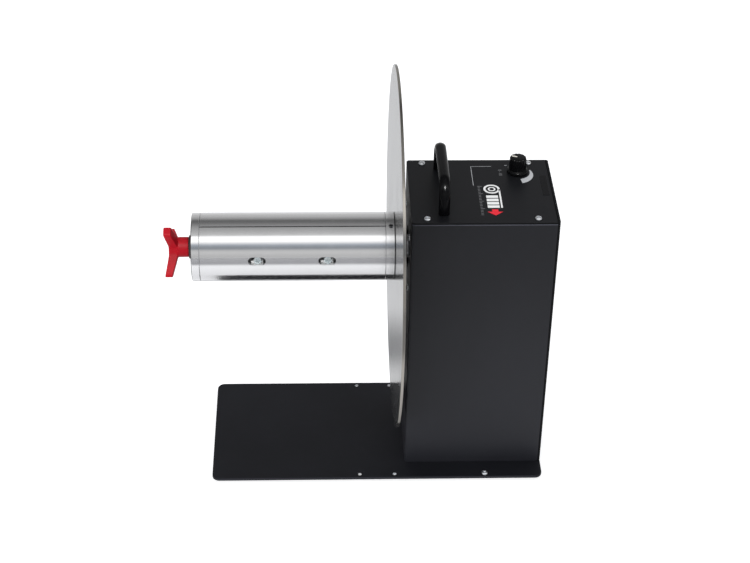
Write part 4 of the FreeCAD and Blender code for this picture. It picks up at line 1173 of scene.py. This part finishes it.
@dataclass
class Chuck:
    """The expanding core chuck: rear ring, nose cap, three shells and their screws."""

    radius: float = 38.0 * MM
    wall: float = 3.2 * MM
    slit: float = 1.34 * MM
    edge: float = 0.4 * MM
    spigot: float = 33.9 * MM
    spigot_length: float = 6.0 * MM
    tube: float = 13.52 * MM
    first_angle: float = 81.6
    stations: Span = (-37.45 * MM, -113.85 * MM)
    window: Span = (19.5 * MM, 9.5 * MM)
    shank_slot: Span = (12.1 * MM, 4.6 * MM)
    floor: float = 30.0 * MM
    screw_shift: float = 0.75 * MM
    bore: float = 12.52 * MM
    stud_bore: float = 6.3 * MM
    web: float = 6.0 * MM
    hole: float = 2.7 * MM
    hole_inset: float = 4.4 * MM
    hole_floor: float = 33.95 * MM
    hole_angle: float = 21.5

    def _oblong(self, name: str, x: float, size: Span, low: float) -> bpy.types.Object:
        """Upright cutter with round ends that reaches out of the shell.

        Args:
            name: its name.
            x: its middle along the spindle.
            size: its length and breadth.
            low: its foot's distance from the axis.

        Returns:
            The cutter.
        """
        half = size[1] / 2
        run = size[0] / 2 - half
        outline = arc((x + run, 0.0), half, -90.0, 90.0, 14) + \
            arc((x - run, 0.0), half, 90.0, 270.0, 14)
        return Bench.prism(name, level(outline, SPINDLE_Z + low),
                           Vector((0.0, 0.0, self.radius + 2 * MM - low)))

    def _skin(self) -> bpy.types.Object:
        """A third of the skin at the top of the chuck, with its windows.

        Returns:
            The skin.
        """
        low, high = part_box("chuck_shell_1")
        start, end, edge = low[0], high[0], self.edge
        outline = [(start, self.radius - self.wall), (start, self.radius - edge),
                   (start + edge, self.radius), (end - edge, self.radius),
                   (end, self.radius - edge), (end, self.radius - self.wall)]
        half = 60.0 - math.degrees(math.asin(self.slit / 2 / self.radius))
        points = [Way.SPINDLE.point(along, out, SPINDLE) for along, out in outline]
        Bench.loop(points + points[:1])
        bpy.ops.mesh.edge_face_add()
        bpy.ops.mesh.spin(steps=118, angle=math.radians(2 * half), center=SPINDLE,
                          axis=Way.SPINDLE.value)
        Bench.tidy_mesh()
        skin = Bench.done("chuck_skin")
        lean = sum(vertex.co.y for vertex in skin.data.vertices)
        Bench.turn(skin, math.copysign(half, lean), "X", SPINDLE)
        for x in self.stations:
            Bench.combine(skin, self._oblong("window_cutter", x, self.window, self.floor),
                          "DIFFERENCE")
        return skin

    def _pad(self, x: float) -> bpy.types.Object:
        """The pad seen through one window, hollowed for the screw's head and shank.

        Args:
            x: the window's middle along the spindle.

        Returns:
            The pad.
        """
        middle = x + self.screw_shift
        near, far, breadth, rise = 14.0 * MM, 15.0 * MM, 20.0 * MM, 0.2
        seat, top = 26.0 * MM, 34.9 * MM
        side = [(middle - near, seat - rise * near), (middle + far, seat + rise * far),
                (middle + far, top), (middle - near, top)]
        corners = [Vector((along, -breadth / 2, SPINDLE_Z + out)) for along, out in side]
        pad = Bench.prism("chuck_pad", corners + corners[:1], Vector((0.0, breadth, 0.0)))
        Bench.combine(pad, self._oblong("window_cutter", x, self.window, self.floor),
                      "DIFFERENCE")
        return Bench.combine(pad, self._oblong("slot_cutter", x, self.shank_slot, 20.0 * MM),
                             "DIFFERENCE")

    def _screw(self) -> bpy.types.Object:
        """A pan-head screw with a cross recess, upright over the axis at x = 0.

        Returns:
            The screw.
        """
        head, rise = 33.45 * MM, 2.8 * MM
        outline = [(19.7 * MM, 0.0), (19.7 * MM, 2.0 * MM), (head, 2.0 * MM),
                   (head, 4.4 * MM), (head + 0.1 * MM, 4.5 * MM)]
        outline += [(head + rise - 1.3 * MM + 1.3 * MM * math.sin(a),
                     2.6 * MM + 1.9 * MM * math.cos(a))
                    for a in (0.0, 0.3, 0.6, 0.9, 1.2, 1.45)]
        outline.append((head + rise, 0.0))
        screw = Bench.turned("window_screw", outline, SPINDLE, Way.UPRIGHT, 64, False)
        long, short = 2.7 * MM, 0.55 * MM
        quarter = [(long, short), (short, short), (short, long)]
        plus = [point for k in range(4) for point in
                (self._quarter_turn(corner, k) for corner in quarter)]
        floor = SPINDLE_Z + head + 1.2 * MM
        recess = Bench.prism("cross_cutter", level(plus + plus[:1], floor),
                             Vector((0.0, 0.0, 3.0 * MM)))
        return Bench.combine(screw, recess, "DIFFERENCE")

    @staticmethod
    def _quarter_turn(point: Point, turns: int) -> Point:
        """A point turned about the origin.

        Args:
            point: the point.
            turns: how many quarter turns.

        Returns:
            The turned point.
        """
        x, y = point
        for _ in range(turns):
            x, y = -y, x
        return x, y

    def _ring(self) -> bpy.types.Object:
        """The fixed rear ring with its set-screw hole.

        Returns:
            The ring.
        """
        low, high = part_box("chuck_rear_ring")
        start, end, edge = low[0] + self.spigot_length, high[0], self.edge
        groove = 0.5 * MM
        ring = Bench.turned("chuck_back_ring", [
            (low[0], self.tube), (low[0], self.spigot), (start, self.spigot),
            (start, self.radius - edge), (start + edge, self.radius),
            (end - groove, self.radius), (end - groove, self.radius - 2 * groove),
            (end, self.radius - 2 * groove), (end, self.bore),
            (start, self.bore), (start, self.tube)], SPINDLE, steps=360)
        beyond = self.radius + 2 * MM
        hole = Bench.turned("hole_cutter", [
            (self.hole_floor, 0.0), (self.hole_floor, self.hole),
            (beyond, self.hole), (beyond, 0.0)],
            Vector((end - self.hole_inset, 0.0, SPINDLE_Z)), Way.UPRIGHT, 40, False)
        Bench.turn(hole, self.hole_angle, "X", SPINDLE)
        return Bench.shade(Bench.combine(ring, hole, "DIFFERENCE"))

    def _cap(self) -> bpy.types.Object:
        """The nose cap with its rounded front edge.

        Returns:
            The cap.
        """
        low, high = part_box("chuck_front_cap")
        front, end, soft = low[0], high[0], 1.5 * MM
        back = end - self.spigot_length
        web = front + self.web
        nose = [(front, self.radius - soft - self.edge),
                *arc((front + soft, self.radius - soft), soft, 180.0, 90.0, 6),
                (front + soft + self.edge, self.radius)]
        return Bench.turned("chuck_nose_cap", [
            (front, self.stud_bore), *nose, (back - self.edge, self.radius),
            (back, self.radius - self.edge), (back, self.spigot), (end, self.spigot),
            (end, self.tube), (web, self.tube), (web, self.stud_bore)], SPINDLE, steps=360)

    def build(self) -> None:
        """Builds the chuck and fixes each piece to its body."""
        mount(self._ring(), RING_METAL, "spindle", "turned_aluminium", "chuck_rear_ring")
        mount(self._cap(), CAP_METAL, "spindle", "turned_aluminium", "chuck_front_cap")
        shell = Bench.join("chuck_shell", [self._skin(), *map(self._pad, self.stations)])
        Bench.shade(shell)
        screw = self._screw()
        screws = []
        for number in range(3):
            angle = self.first_angle + 120.0 * number
            third = Bench.copy(shell, f"chuck_segment_{number + 1}")
            Bench.turn(third, angle, "X", SPINDLE)
            mount(third, CHUCK_METAL, f"shell_{number + 1}", "turned_aluminium",
                  f"chuck_shell_{number + 1}")
            for x in self.stations:
                one = Bench.copy(screw, "window_screw_copy")
                Bench.turn(one, 17.0 + 40.0 * number, "Z", SPINDLE)
                Bench.shift(one, Vector((x + self.screw_shift, 0.0, 0.0)))
                screws.append(Bench.turn(one, angle, "X", SPINDLE))
        Bench.drop(shell, screw)
        whole = Bench.shade(Bench.join("window_screws", screws), 40.0)
        mount(whole, SCREW_ZINC, "draw_sleeve", "zinc", "shell_screws")


@dataclass
class ClampKnob:
    """The moulded knob: a hub and a plate of three swept arms."""

    hub: float = 11.2 * MM
    reach: float = 33.5 * MM
    half: float = 6.0 * MM
    hollow: float = 9.0 * MM
    tip: float = 3.0 * MM
    soft: float = 0.8 * MM
    angle: float = 25.0
    length: float = 12.0 * MM
    face: float = 4.2 * MM
    brim: float = 8.2 * MM
    voxel: float = 0.36 * MM

    @staticmethod
    def _ray(degrees: float, out: float) -> Vector:
        """A point at a distance from the axis, at an angle from the top towards the front."""
        turn = math.radians(degrees)
        return Vector((0.0, -out * math.sin(turn), out * math.cos(turn)))

    def _bend(self, centre: Vector, radius: float, first: float, last: float) -> list[Vector]:
        """Points of one rounded corner."""
        return [centre + self._ray(first + (last - first) * k / 8, radius) for k in range(9)]

    def _star(self, x: float) -> list[Vector]:
        """The outline of the three arms with the hollows between them.

        Args:
            x: where it lies along the spindle.

        Returns:
            The points, once round.
        """
        points: list[Vector] = []
        for number in range(3):
            way = 120.0 * number
            side = self.half - self.tip
            corner = self._ray(way, self.reach - self.tip)
            deep = (self.half + self.hollow) / math.sin(math.radians(60.0))
            points += self._bend(corner + self._ray(way - 90.0, side), self.tip,
                                 way - 90.0, way)
            points += self._bend(corner + self._ray(way + 90.0, side), self.tip, way,
                                 way + 90.0)
            points += self._bend(self._ray(way + 60.0, deep), self.hollow, way + 270.0,
                                 way + 210.0)
        return [point + Vector((x, 0.0, SPINDLE_Z)) for point in points]

    def build(self) -> None:
        """Builds the knob."""
        low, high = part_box("clamp_knob")
        end, tip = high[0], low[0]
        root, nose, brim = end - self.length, tip + self.face, tip + self.brim
        star = self._star(tip - 1.0 * MM)
        arms = Bench.prism("knob_arms", star + star[:1],
                           Vector((root - tip + 2.0 * MM, 0.0, 0.0)))
        dish = Bench.turned("dish_cutter", [
            (nose, 0.0), (nose, self.hub), (tip, self.reach), (tip, self.reach + 2 * MM),
            (brim, self.reach + 2 * MM), (brim, self.reach),
            (root, self.hub), (root, 0.0)], SPINDLE, steps=180, closed=False)
        Bench.combine(arms, dish, "INTERSECT")
        hub = Bench.turned("knob_hub", [
            (root - self.soft, 0.0), (root - self.soft, self.hub - self.soft),
            *arc((root, self.hub - self.soft), self.soft, 180.0, 90.0, 4),
            *arc((end - self.soft, self.hub - self.soft), self.soft, 90.0, 0.0, 4),
            (end, 0.0)], SPINDLE, steps=180, closed=False)
        Bench.turn(arms, self.angle, "X", SPINDLE)
        Bench.combine(hub, arms, "UNION")
        Bench.modify(hub, "REMESH", mode="VOXEL", voxel_size=self.voxel)
        Bench.modify(hub, "SMOOTH", factor=0.5, iterations=40)
        knob = Bench.shade(Bench.label(hub, "three_arm_knob"), 60.0)
        mount(knob, RED_PLASTIC, "chuck_knob", "red_plastic", "clamp_knob")


@dataclass
class CarryHandle:
    """The bow handle, an oval bar swept over two bends."""

    breadth: float = 12.0 * MM
    section: float = 8.8 * MM
    bend: float = 17.0 * MM

    def build(self) -> None:
        """Sweeps the oval up one leg, across and down the other."""
        low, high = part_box("carry_handle")
        x = (low[0] + high[0]) / 2
        near = low[1] + self.section / 2
        rise = high[2] - self.section / 2 - self.bend - low[2]
        span = high[1] - low[1] - self.section - 2 * self.bend
        Bench.clear()
        bpy.ops.mesh.primitive_circle_add(vertices=64, radius=1.0, location=(x, near, low[2]))
        bpy.context.object.scale = (self.breadth / 2, self.section / 2, 1.0)
        Bench.fix()
        bpy.ops.object.mode_set(mode="EDIT")
        bpy.ops.mesh.select_all(action="SELECT")
        self._run((0.0, 0.0, rise))
        self._round(Vector((x, near + self.bend, low[2] + rise)))
        self._run((0.0, span, 0.0))
        self._round(Vector((x, near + self.bend + span, low[2] + rise)))
        self._run((0.0, 0.0, -rise))
        bpy.ops.mesh.select_all(action="SELECT")
        bpy.ops.mesh.fill_holes(sides=0)
        Bench.tidy_mesh()
        handle = Bench.done("bow_handle", 50.0)
        mount(handle, HANDLE_PLASTIC, "frame", "black_plastic", "carry_handle")

    @staticmethod
    def _run(way: Sequence[float]) -> None:
        """Extrudes the end of the bar straight on."""
        bpy.ops.mesh.extrude_region_move(TRANSFORM_OT_translate={"value": way})

    @staticmethod
    def _round(centre: Vector) -> None:
        """Spins the end of the bar by a quarter turn towards the back."""
        bpy.ops.mesh.spin(steps=24, angle=math.pi / 2, center=centre, axis=(1.0, 0.0, 0.0))


@dataclass
class TensionDial:
    """The fluted control knob with its skirt and its pointer line."""

    skirt: float = 11.6 * MM
    foot: float = 9.7 * MM
    crown: float = 9.1 * MM
    flutes: int = 12
    flute_depth: float = 0.75 * MM
    bore: float = 6.4 * MM
    brim: float = 2.6 * MM
    brim_round: float = 1.1 * MM
    ledge: float = 4.4 * MM
    seat: float = 3.8 * MM
    rest_angle: float = 24.0

    def _ring(self, out: float, centre: Vector) -> list[Vector]:
        """A fluted ring of points.

        Args:
            out: its radius between the flutes.
            centre: its centre.

        Returns:
            The points, once round.
        """
        points = []
        steps = self.flutes * 16
        for k in range(steps):
            turn = 2 * math.pi * k / steps
            groove = max(0.0, math.cos(self.flutes * turn)) ** 1.5
            r = out - self.flute_depth * groove
            points.append(centre + Vector((r * math.cos(turn), r * math.sin(turn), 0.0)))
        return points

    def build(self) -> None:
        """Builds the skirt, the fluted body and the pointer."""
        low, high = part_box("tension_knob")
        centre = Vector(((low[0] + high[0]) / 2, (low[1] + high[1]) / 2, low[2]))
        tall = high[2] - low[2]
        skirt = Bench.turned("dial_skirt", [
            (0.0, self.bore), (0.0, self.skirt - 0.3 * MM), (0.3 * MM, self.skirt),
            (self.brim, self.skirt),
            *arc((self.brim, self.skirt - self.brim_round), self.brim_round, 90.0, 0.0, 5),
            (self.ledge, self.foot), (self.ledge, self.bore)], centre, Way.UPRIGHT, 120)
        ring = self._ring(self.foot, centre + Vector((0.0, 0.0, self.seat)))
        Bench.loop(ring + ring[:1])
        rises = [(tall - self.seat - 1.75 * MM, self.crown / self.foot), (0.7 * MM, 0.985),
                 (0.5 * MM, 0.96), (0.3 * MM, 0.93), (0.1 * MM, 0.93)]
        for rise, share in rises:
            bpy.ops.mesh.extrude_region_move(TRANSFORM_OT_translate={"value": (0, 0, rise)})
            bpy.ops.transform.resize(value=(share, share, 1.0), center_override=centre)
        bpy.ops.mesh.select_all(action="SELECT")
        bpy.ops.mesh.fill_holes(sides=0)
        Bench.tidy_mesh(1e-7)
        body = Bench.done("dial_body", 35.0)
        dial = Bench.shade(Bench.join("fluted_dial", [body, skirt]), 35.0)
        mount(dial, DIAL_PLASTIC, "tension_dial", "black_plastic", "tension_knob")
        top = centre + Vector((0.0, 0.0, tall - 0.15 * MM))
        corners = [top + Vector((x * MM, y * MM, 0.0)) for x, y in (
            (-7.4, -1.0), (-7.4, 1.0), (-1.2, 1.0), (-1.2, -1.0))]
        pointer = Bench.prism("dial_pointer", corners + corners[:1],
                              Vector((0.0, 0.0, 0.12 * MM)))
        Bench.turn(pointer, -self.rest_angle, "Z", centre)
        mount(pointer, CREAM_INK, "tension_dial", "black_plastic")


@dataclass
class ButtonScrews:
    """Button-head screws with hexagon sockets on the housing and the plate."""

    head: float = 3.75 * MM
    rise: float = 2.2 * MM
    shank: float = 2.0 * MM
    socket: float = 1.55 * MM
    cover_x: Span = (68.55 * MM, 186.75 * MM)
    cover_y: Span = (-56.5 * MM, 56.5 * MM)
    plate_x: float = 143.75 * MM
    plate_y: Span = (-85.0 * MM, 79.0 * MM)

    def _screw(self) -> bpy.types.Object:
        """One upright screw seated at the origin.

        Returns:
            The screw.
        """
        crown = [(self.rise * math.sin(a), 1.75 * MM + 2.0 * MM * math.cos(a))
                 for a in (0.12, 0.35, 0.6, 0.85, 1.1, 1.35, math.pi / 2)]
        screw = Bench.turned("button_screw", [
            (-3.6 * MM, 0.0), (-3.6 * MM, self.shank), (0.0, self.shank),
            (0.0, self.head - 0.1 * MM), *crown, (self.rise, 0.0)], Vector((0, 0, 0)),
            Way.UPRIGHT, 64, False)
        hexagon = arc((0.0, 0.0), self.socket, 0.0, 360.0, 6)
        socket = Bench.prism("socket_cutter", level(hexagon, self.rise - 1.3 * MM),
                             Vector((0.0, 0.0, 3.0 * MM)))
        return Bench.combine(screw, socket, "DIFFERENCE")

    def _set(self, name: str, node: str, places: Sequence[Vector]) -> None:
        """Copies of the screw at their places, as one piece.

        Args:
            name: the piece's name.
            node: the CAD node that it stands for.
            places: the seats of the heads.
        """
        pattern = self._screw()
        screws = []
        for number, place in enumerate(places):
            one = Bench.copy(pattern, name + "_copy")
            Bench.turn(one, 11.0 + 23.0 * number, "Z", Vector((0, 0, 0)))
            screws.append(Bench.shift(one, place))
        Bench.drop(pattern)
        whole = Bench.shade(Bench.join(name, screws), 40.0)
        mount(whole, ZINC, "frame", "zinc", node)

    def build(self) -> None:
        """Builds the two groups of screws."""
        self._set("cover_screws", "top_panel_screws",
                  [Vector((x, y, TOP_Z)) for x in self.cover_x for y in self.cover_y])
        self._set("plate_screws", "edge_screws",
                  [Vector((self.plate_x, y, PLATE_Z)) for y in self.plate_y])


@dataclass
class PanelPrint:
    """Printed marks on the cover: dial scale, corner line, roll pictogram, blank plate."""

    proud: float = 0.05 * MM
    level_gap: float = 0.01 * MM
    plate: float = 0.25 * MM
    plate_edge: float = 0.08 * MM

    def _spot(self, place: Point) -> Vector:
        """A place in millimetres as a point just over the cover."""
        return Vector((place[0] * MM, place[1] * MM, TOP_Z + self.level_gap))

    def _patch(self, name: str, points: Sequence[Point], ink: Finish) -> None:
        """Lays one printed patch.

        Args:
            name: its name.
            points: its corners in millimetres.
            ink: its finish.
        """
        corners = [self._spot(point) for point in points]
        patch = Bench.prism(name, corners + corners[:1], Vector((0.0, 0.0, self.proud)))
        mount(patch, ink, "frame", "black_panel")

    @staticmethod
    def _oblong(x0: float, x1: float, y0: float, y1: float) -> list[Point]:
        """Corners of a rectangle."""
        return [(x0, y0), (x1, y0), (x1, y1), (x0, y1)]

    def _ring(self, name: str, centre: Point, out: float, width: float, ink: Finish) -> None:
        """Lays one printed ring, its sizes in millimetres.

        Args:
            name: its name.
            centre: its centre.
            out: its outer radius.
            width: its breadth.
            ink: its finish.
        """
        inner = (out - width) * MM
        ring = Bench.turned(name, [(0.0, inner), (0.0, out * MM), (self.proud, out * MM),
                                   (self.proud, inner)], self._spot(centre), Way.UPRIGHT, 72)
        mount(ring, ink, "frame", "black_panel")

    def _number(self, name: str, text: str, place: Point, size: float, ink: Finish) -> None:
        """Lays a number that reads from the back of the cover towards the front.

        Args:
            name: the piece's name.
            text: the number.
            place: its middle in millimetres.
            size: its height in millimetres.
            ink: its finish.
        """
        Bench.clear()
        bpy.ops.object.text_add(location=self._spot(place), rotation=(0.0, 0.0, -math.pi / 2))
        label = bpy.context.object
        label.data.body = text
        label.data.size = size * MM
        label.data.extrude = self.proud / 2
        label.data.align_x = "CENTER"
        label.data.align_y = "CENTER"
        Bench.take(label)
        bpy.ops.object.convert(target="MESH")
        printed = Bench.done(name)
        mount(printed, ink, "frame", "black_panel")

    def build(self) -> None:
        """Prints every mark."""
        scale = arc((171.45, 32.7), 18.78, -73.0, 30.0, 30) + \
            arc((172.35, 37.7), 14.66, 16.0, -78.7, 30)
        self._patch("print_dial_scale", scale, GREY_INK)
        self._patch("print_corner_long", self._oblong(122.2, 122.75, 10.2, 50.1), GREY_INK)
        self._patch("print_corner_short", self._oblong(122.75, 145.2, 49.6, 50.1), GREY_INK)
        self._number("print_range", "0 - 10", (154.0, 37.0), 5.2, DIM_INK)
        self._number("print_zero", "0", (161.2, 52.0), 3.6, GREY_INK)
        self._ring("print_roll_outer", (141.75, 2.6), 9.0, 2.4, WHITE_INK)
        self._ring("print_roll_inner", (141.75, 2.6), 4.2, 1.7, WHITE_INK)
        self._patch("print_web", self._oblong(149.0, 150.75, -35.0, 2.6), WHITE_INK)
        for number in range(4):
            y = -15.2 - 6.6 * number
            self._patch(f"print_label_{number + 1}", self._oblong(134.6, 147.4, y, y + 5.0),
                        WHITE_INK)
        arrow = [(138.6, -38.0), (145.4, -38.0), (145.4, -42.6), (150.4, -42.6),
                 (142.0, -50.0), (133.6, -42.6), (138.6, -42.6)]
        self._patch("print_arrow", arrow, RED_INK)
        for number in range(20):
            y = 8.0 - 3.0 * number
            reach = 131.4 if number % 5 == 0 else 129.4
            self._patch(f"print_tick_{number + 1:02d}", self._oblong(126.6, reach, y, y + 0.7),
                        DIM_INK)
        sides = [(x * MM, y * MM) for x, y in self._oblong(196.75, 203.75, -10.0, 30.0)]
        plate = Bench.prism("blank_plate", level(sides + sides[:1], TOP_Z),
                            Vector((0.0, 0.0, self.plate)))
        Bench.modify(plate, "BEVEL", width=self.plate_edge, segments=2, limit_method="ANGLE",
                     angle_limit=math.radians(35.0))
        mount(plate, GLOSS_PLATE, "frame", "black_panel")


@dataclass
class RockerMarks:
    """The on and off marks on the rocker's two faces."""

    lean: float = 11.3
    face_x: float = 214.36 * MM
    proud: float = 0.06 * MM

    def build(self) -> None:
        """Lays a bar on the upper face and a ring on the lower."""
        low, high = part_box("switch_rocker")
        middle = Vector((self.face_x, (low[1] + high[1]) / 2, (low[2] + high[2]) / 2))
        bar = [middle + Vector((0.0, y * MM, z * MM)) for y, z in (
            (-0.35, 1.8), (0.35, 1.8), (0.35, 4.6), (-0.35, 4.6))]
        upper = Bench.prism("rocker_bar", bar + bar[:1], Vector((self.proud, 0.0, 0.0)))
        Bench.turn(upper, self.lean, "Y", middle)
        mount(upper, WHITE_INK, "rocker", "black_plastic")
        ring = Bench.turned("rocker_ring", [
            (0.0, 1.0 * MM), (0.0, 1.5 * MM), (self.proud, 1.5 * MM), (self.proud, 1.0 * MM)],
            middle - Vector((0.0, 0.0, 3.3 * MM)), steps=48)
        Bench.turn(ring, -self.lean, "Y", middle)
        mount(ring, WHITE_INK, "rocker", "black_plastic")


def dress_carried_over() -> None:
    """Gives every CAD node its finish."""
    for finish, nodes in CARRIED_OVER.items():
        finish.coat(*(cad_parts[node] for node in nodes))
        log.info("%s: %s", finish.name, ", ".join(nodes))


def main() -> None:
    """Builds the scene in order."""
    logging.basicConfig(level=logging.INFO, format="%(message)s")
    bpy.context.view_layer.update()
    studio = Studio()
    studio.build()
    dress_carried_over()
    for group in (FlangeDisc(), Chuck(), ClampKnob(), CarryHandle(), TensionDial(),
                  ButtonScrews(), PanelPrint(), RockerMarks()):
        group.build()
        log.info("built %s", type(group).__name__)
    studio.add_glints("bow_handle", "fluted_dial", "three_arm_knob")


if __name__ == "__main__":
    main()
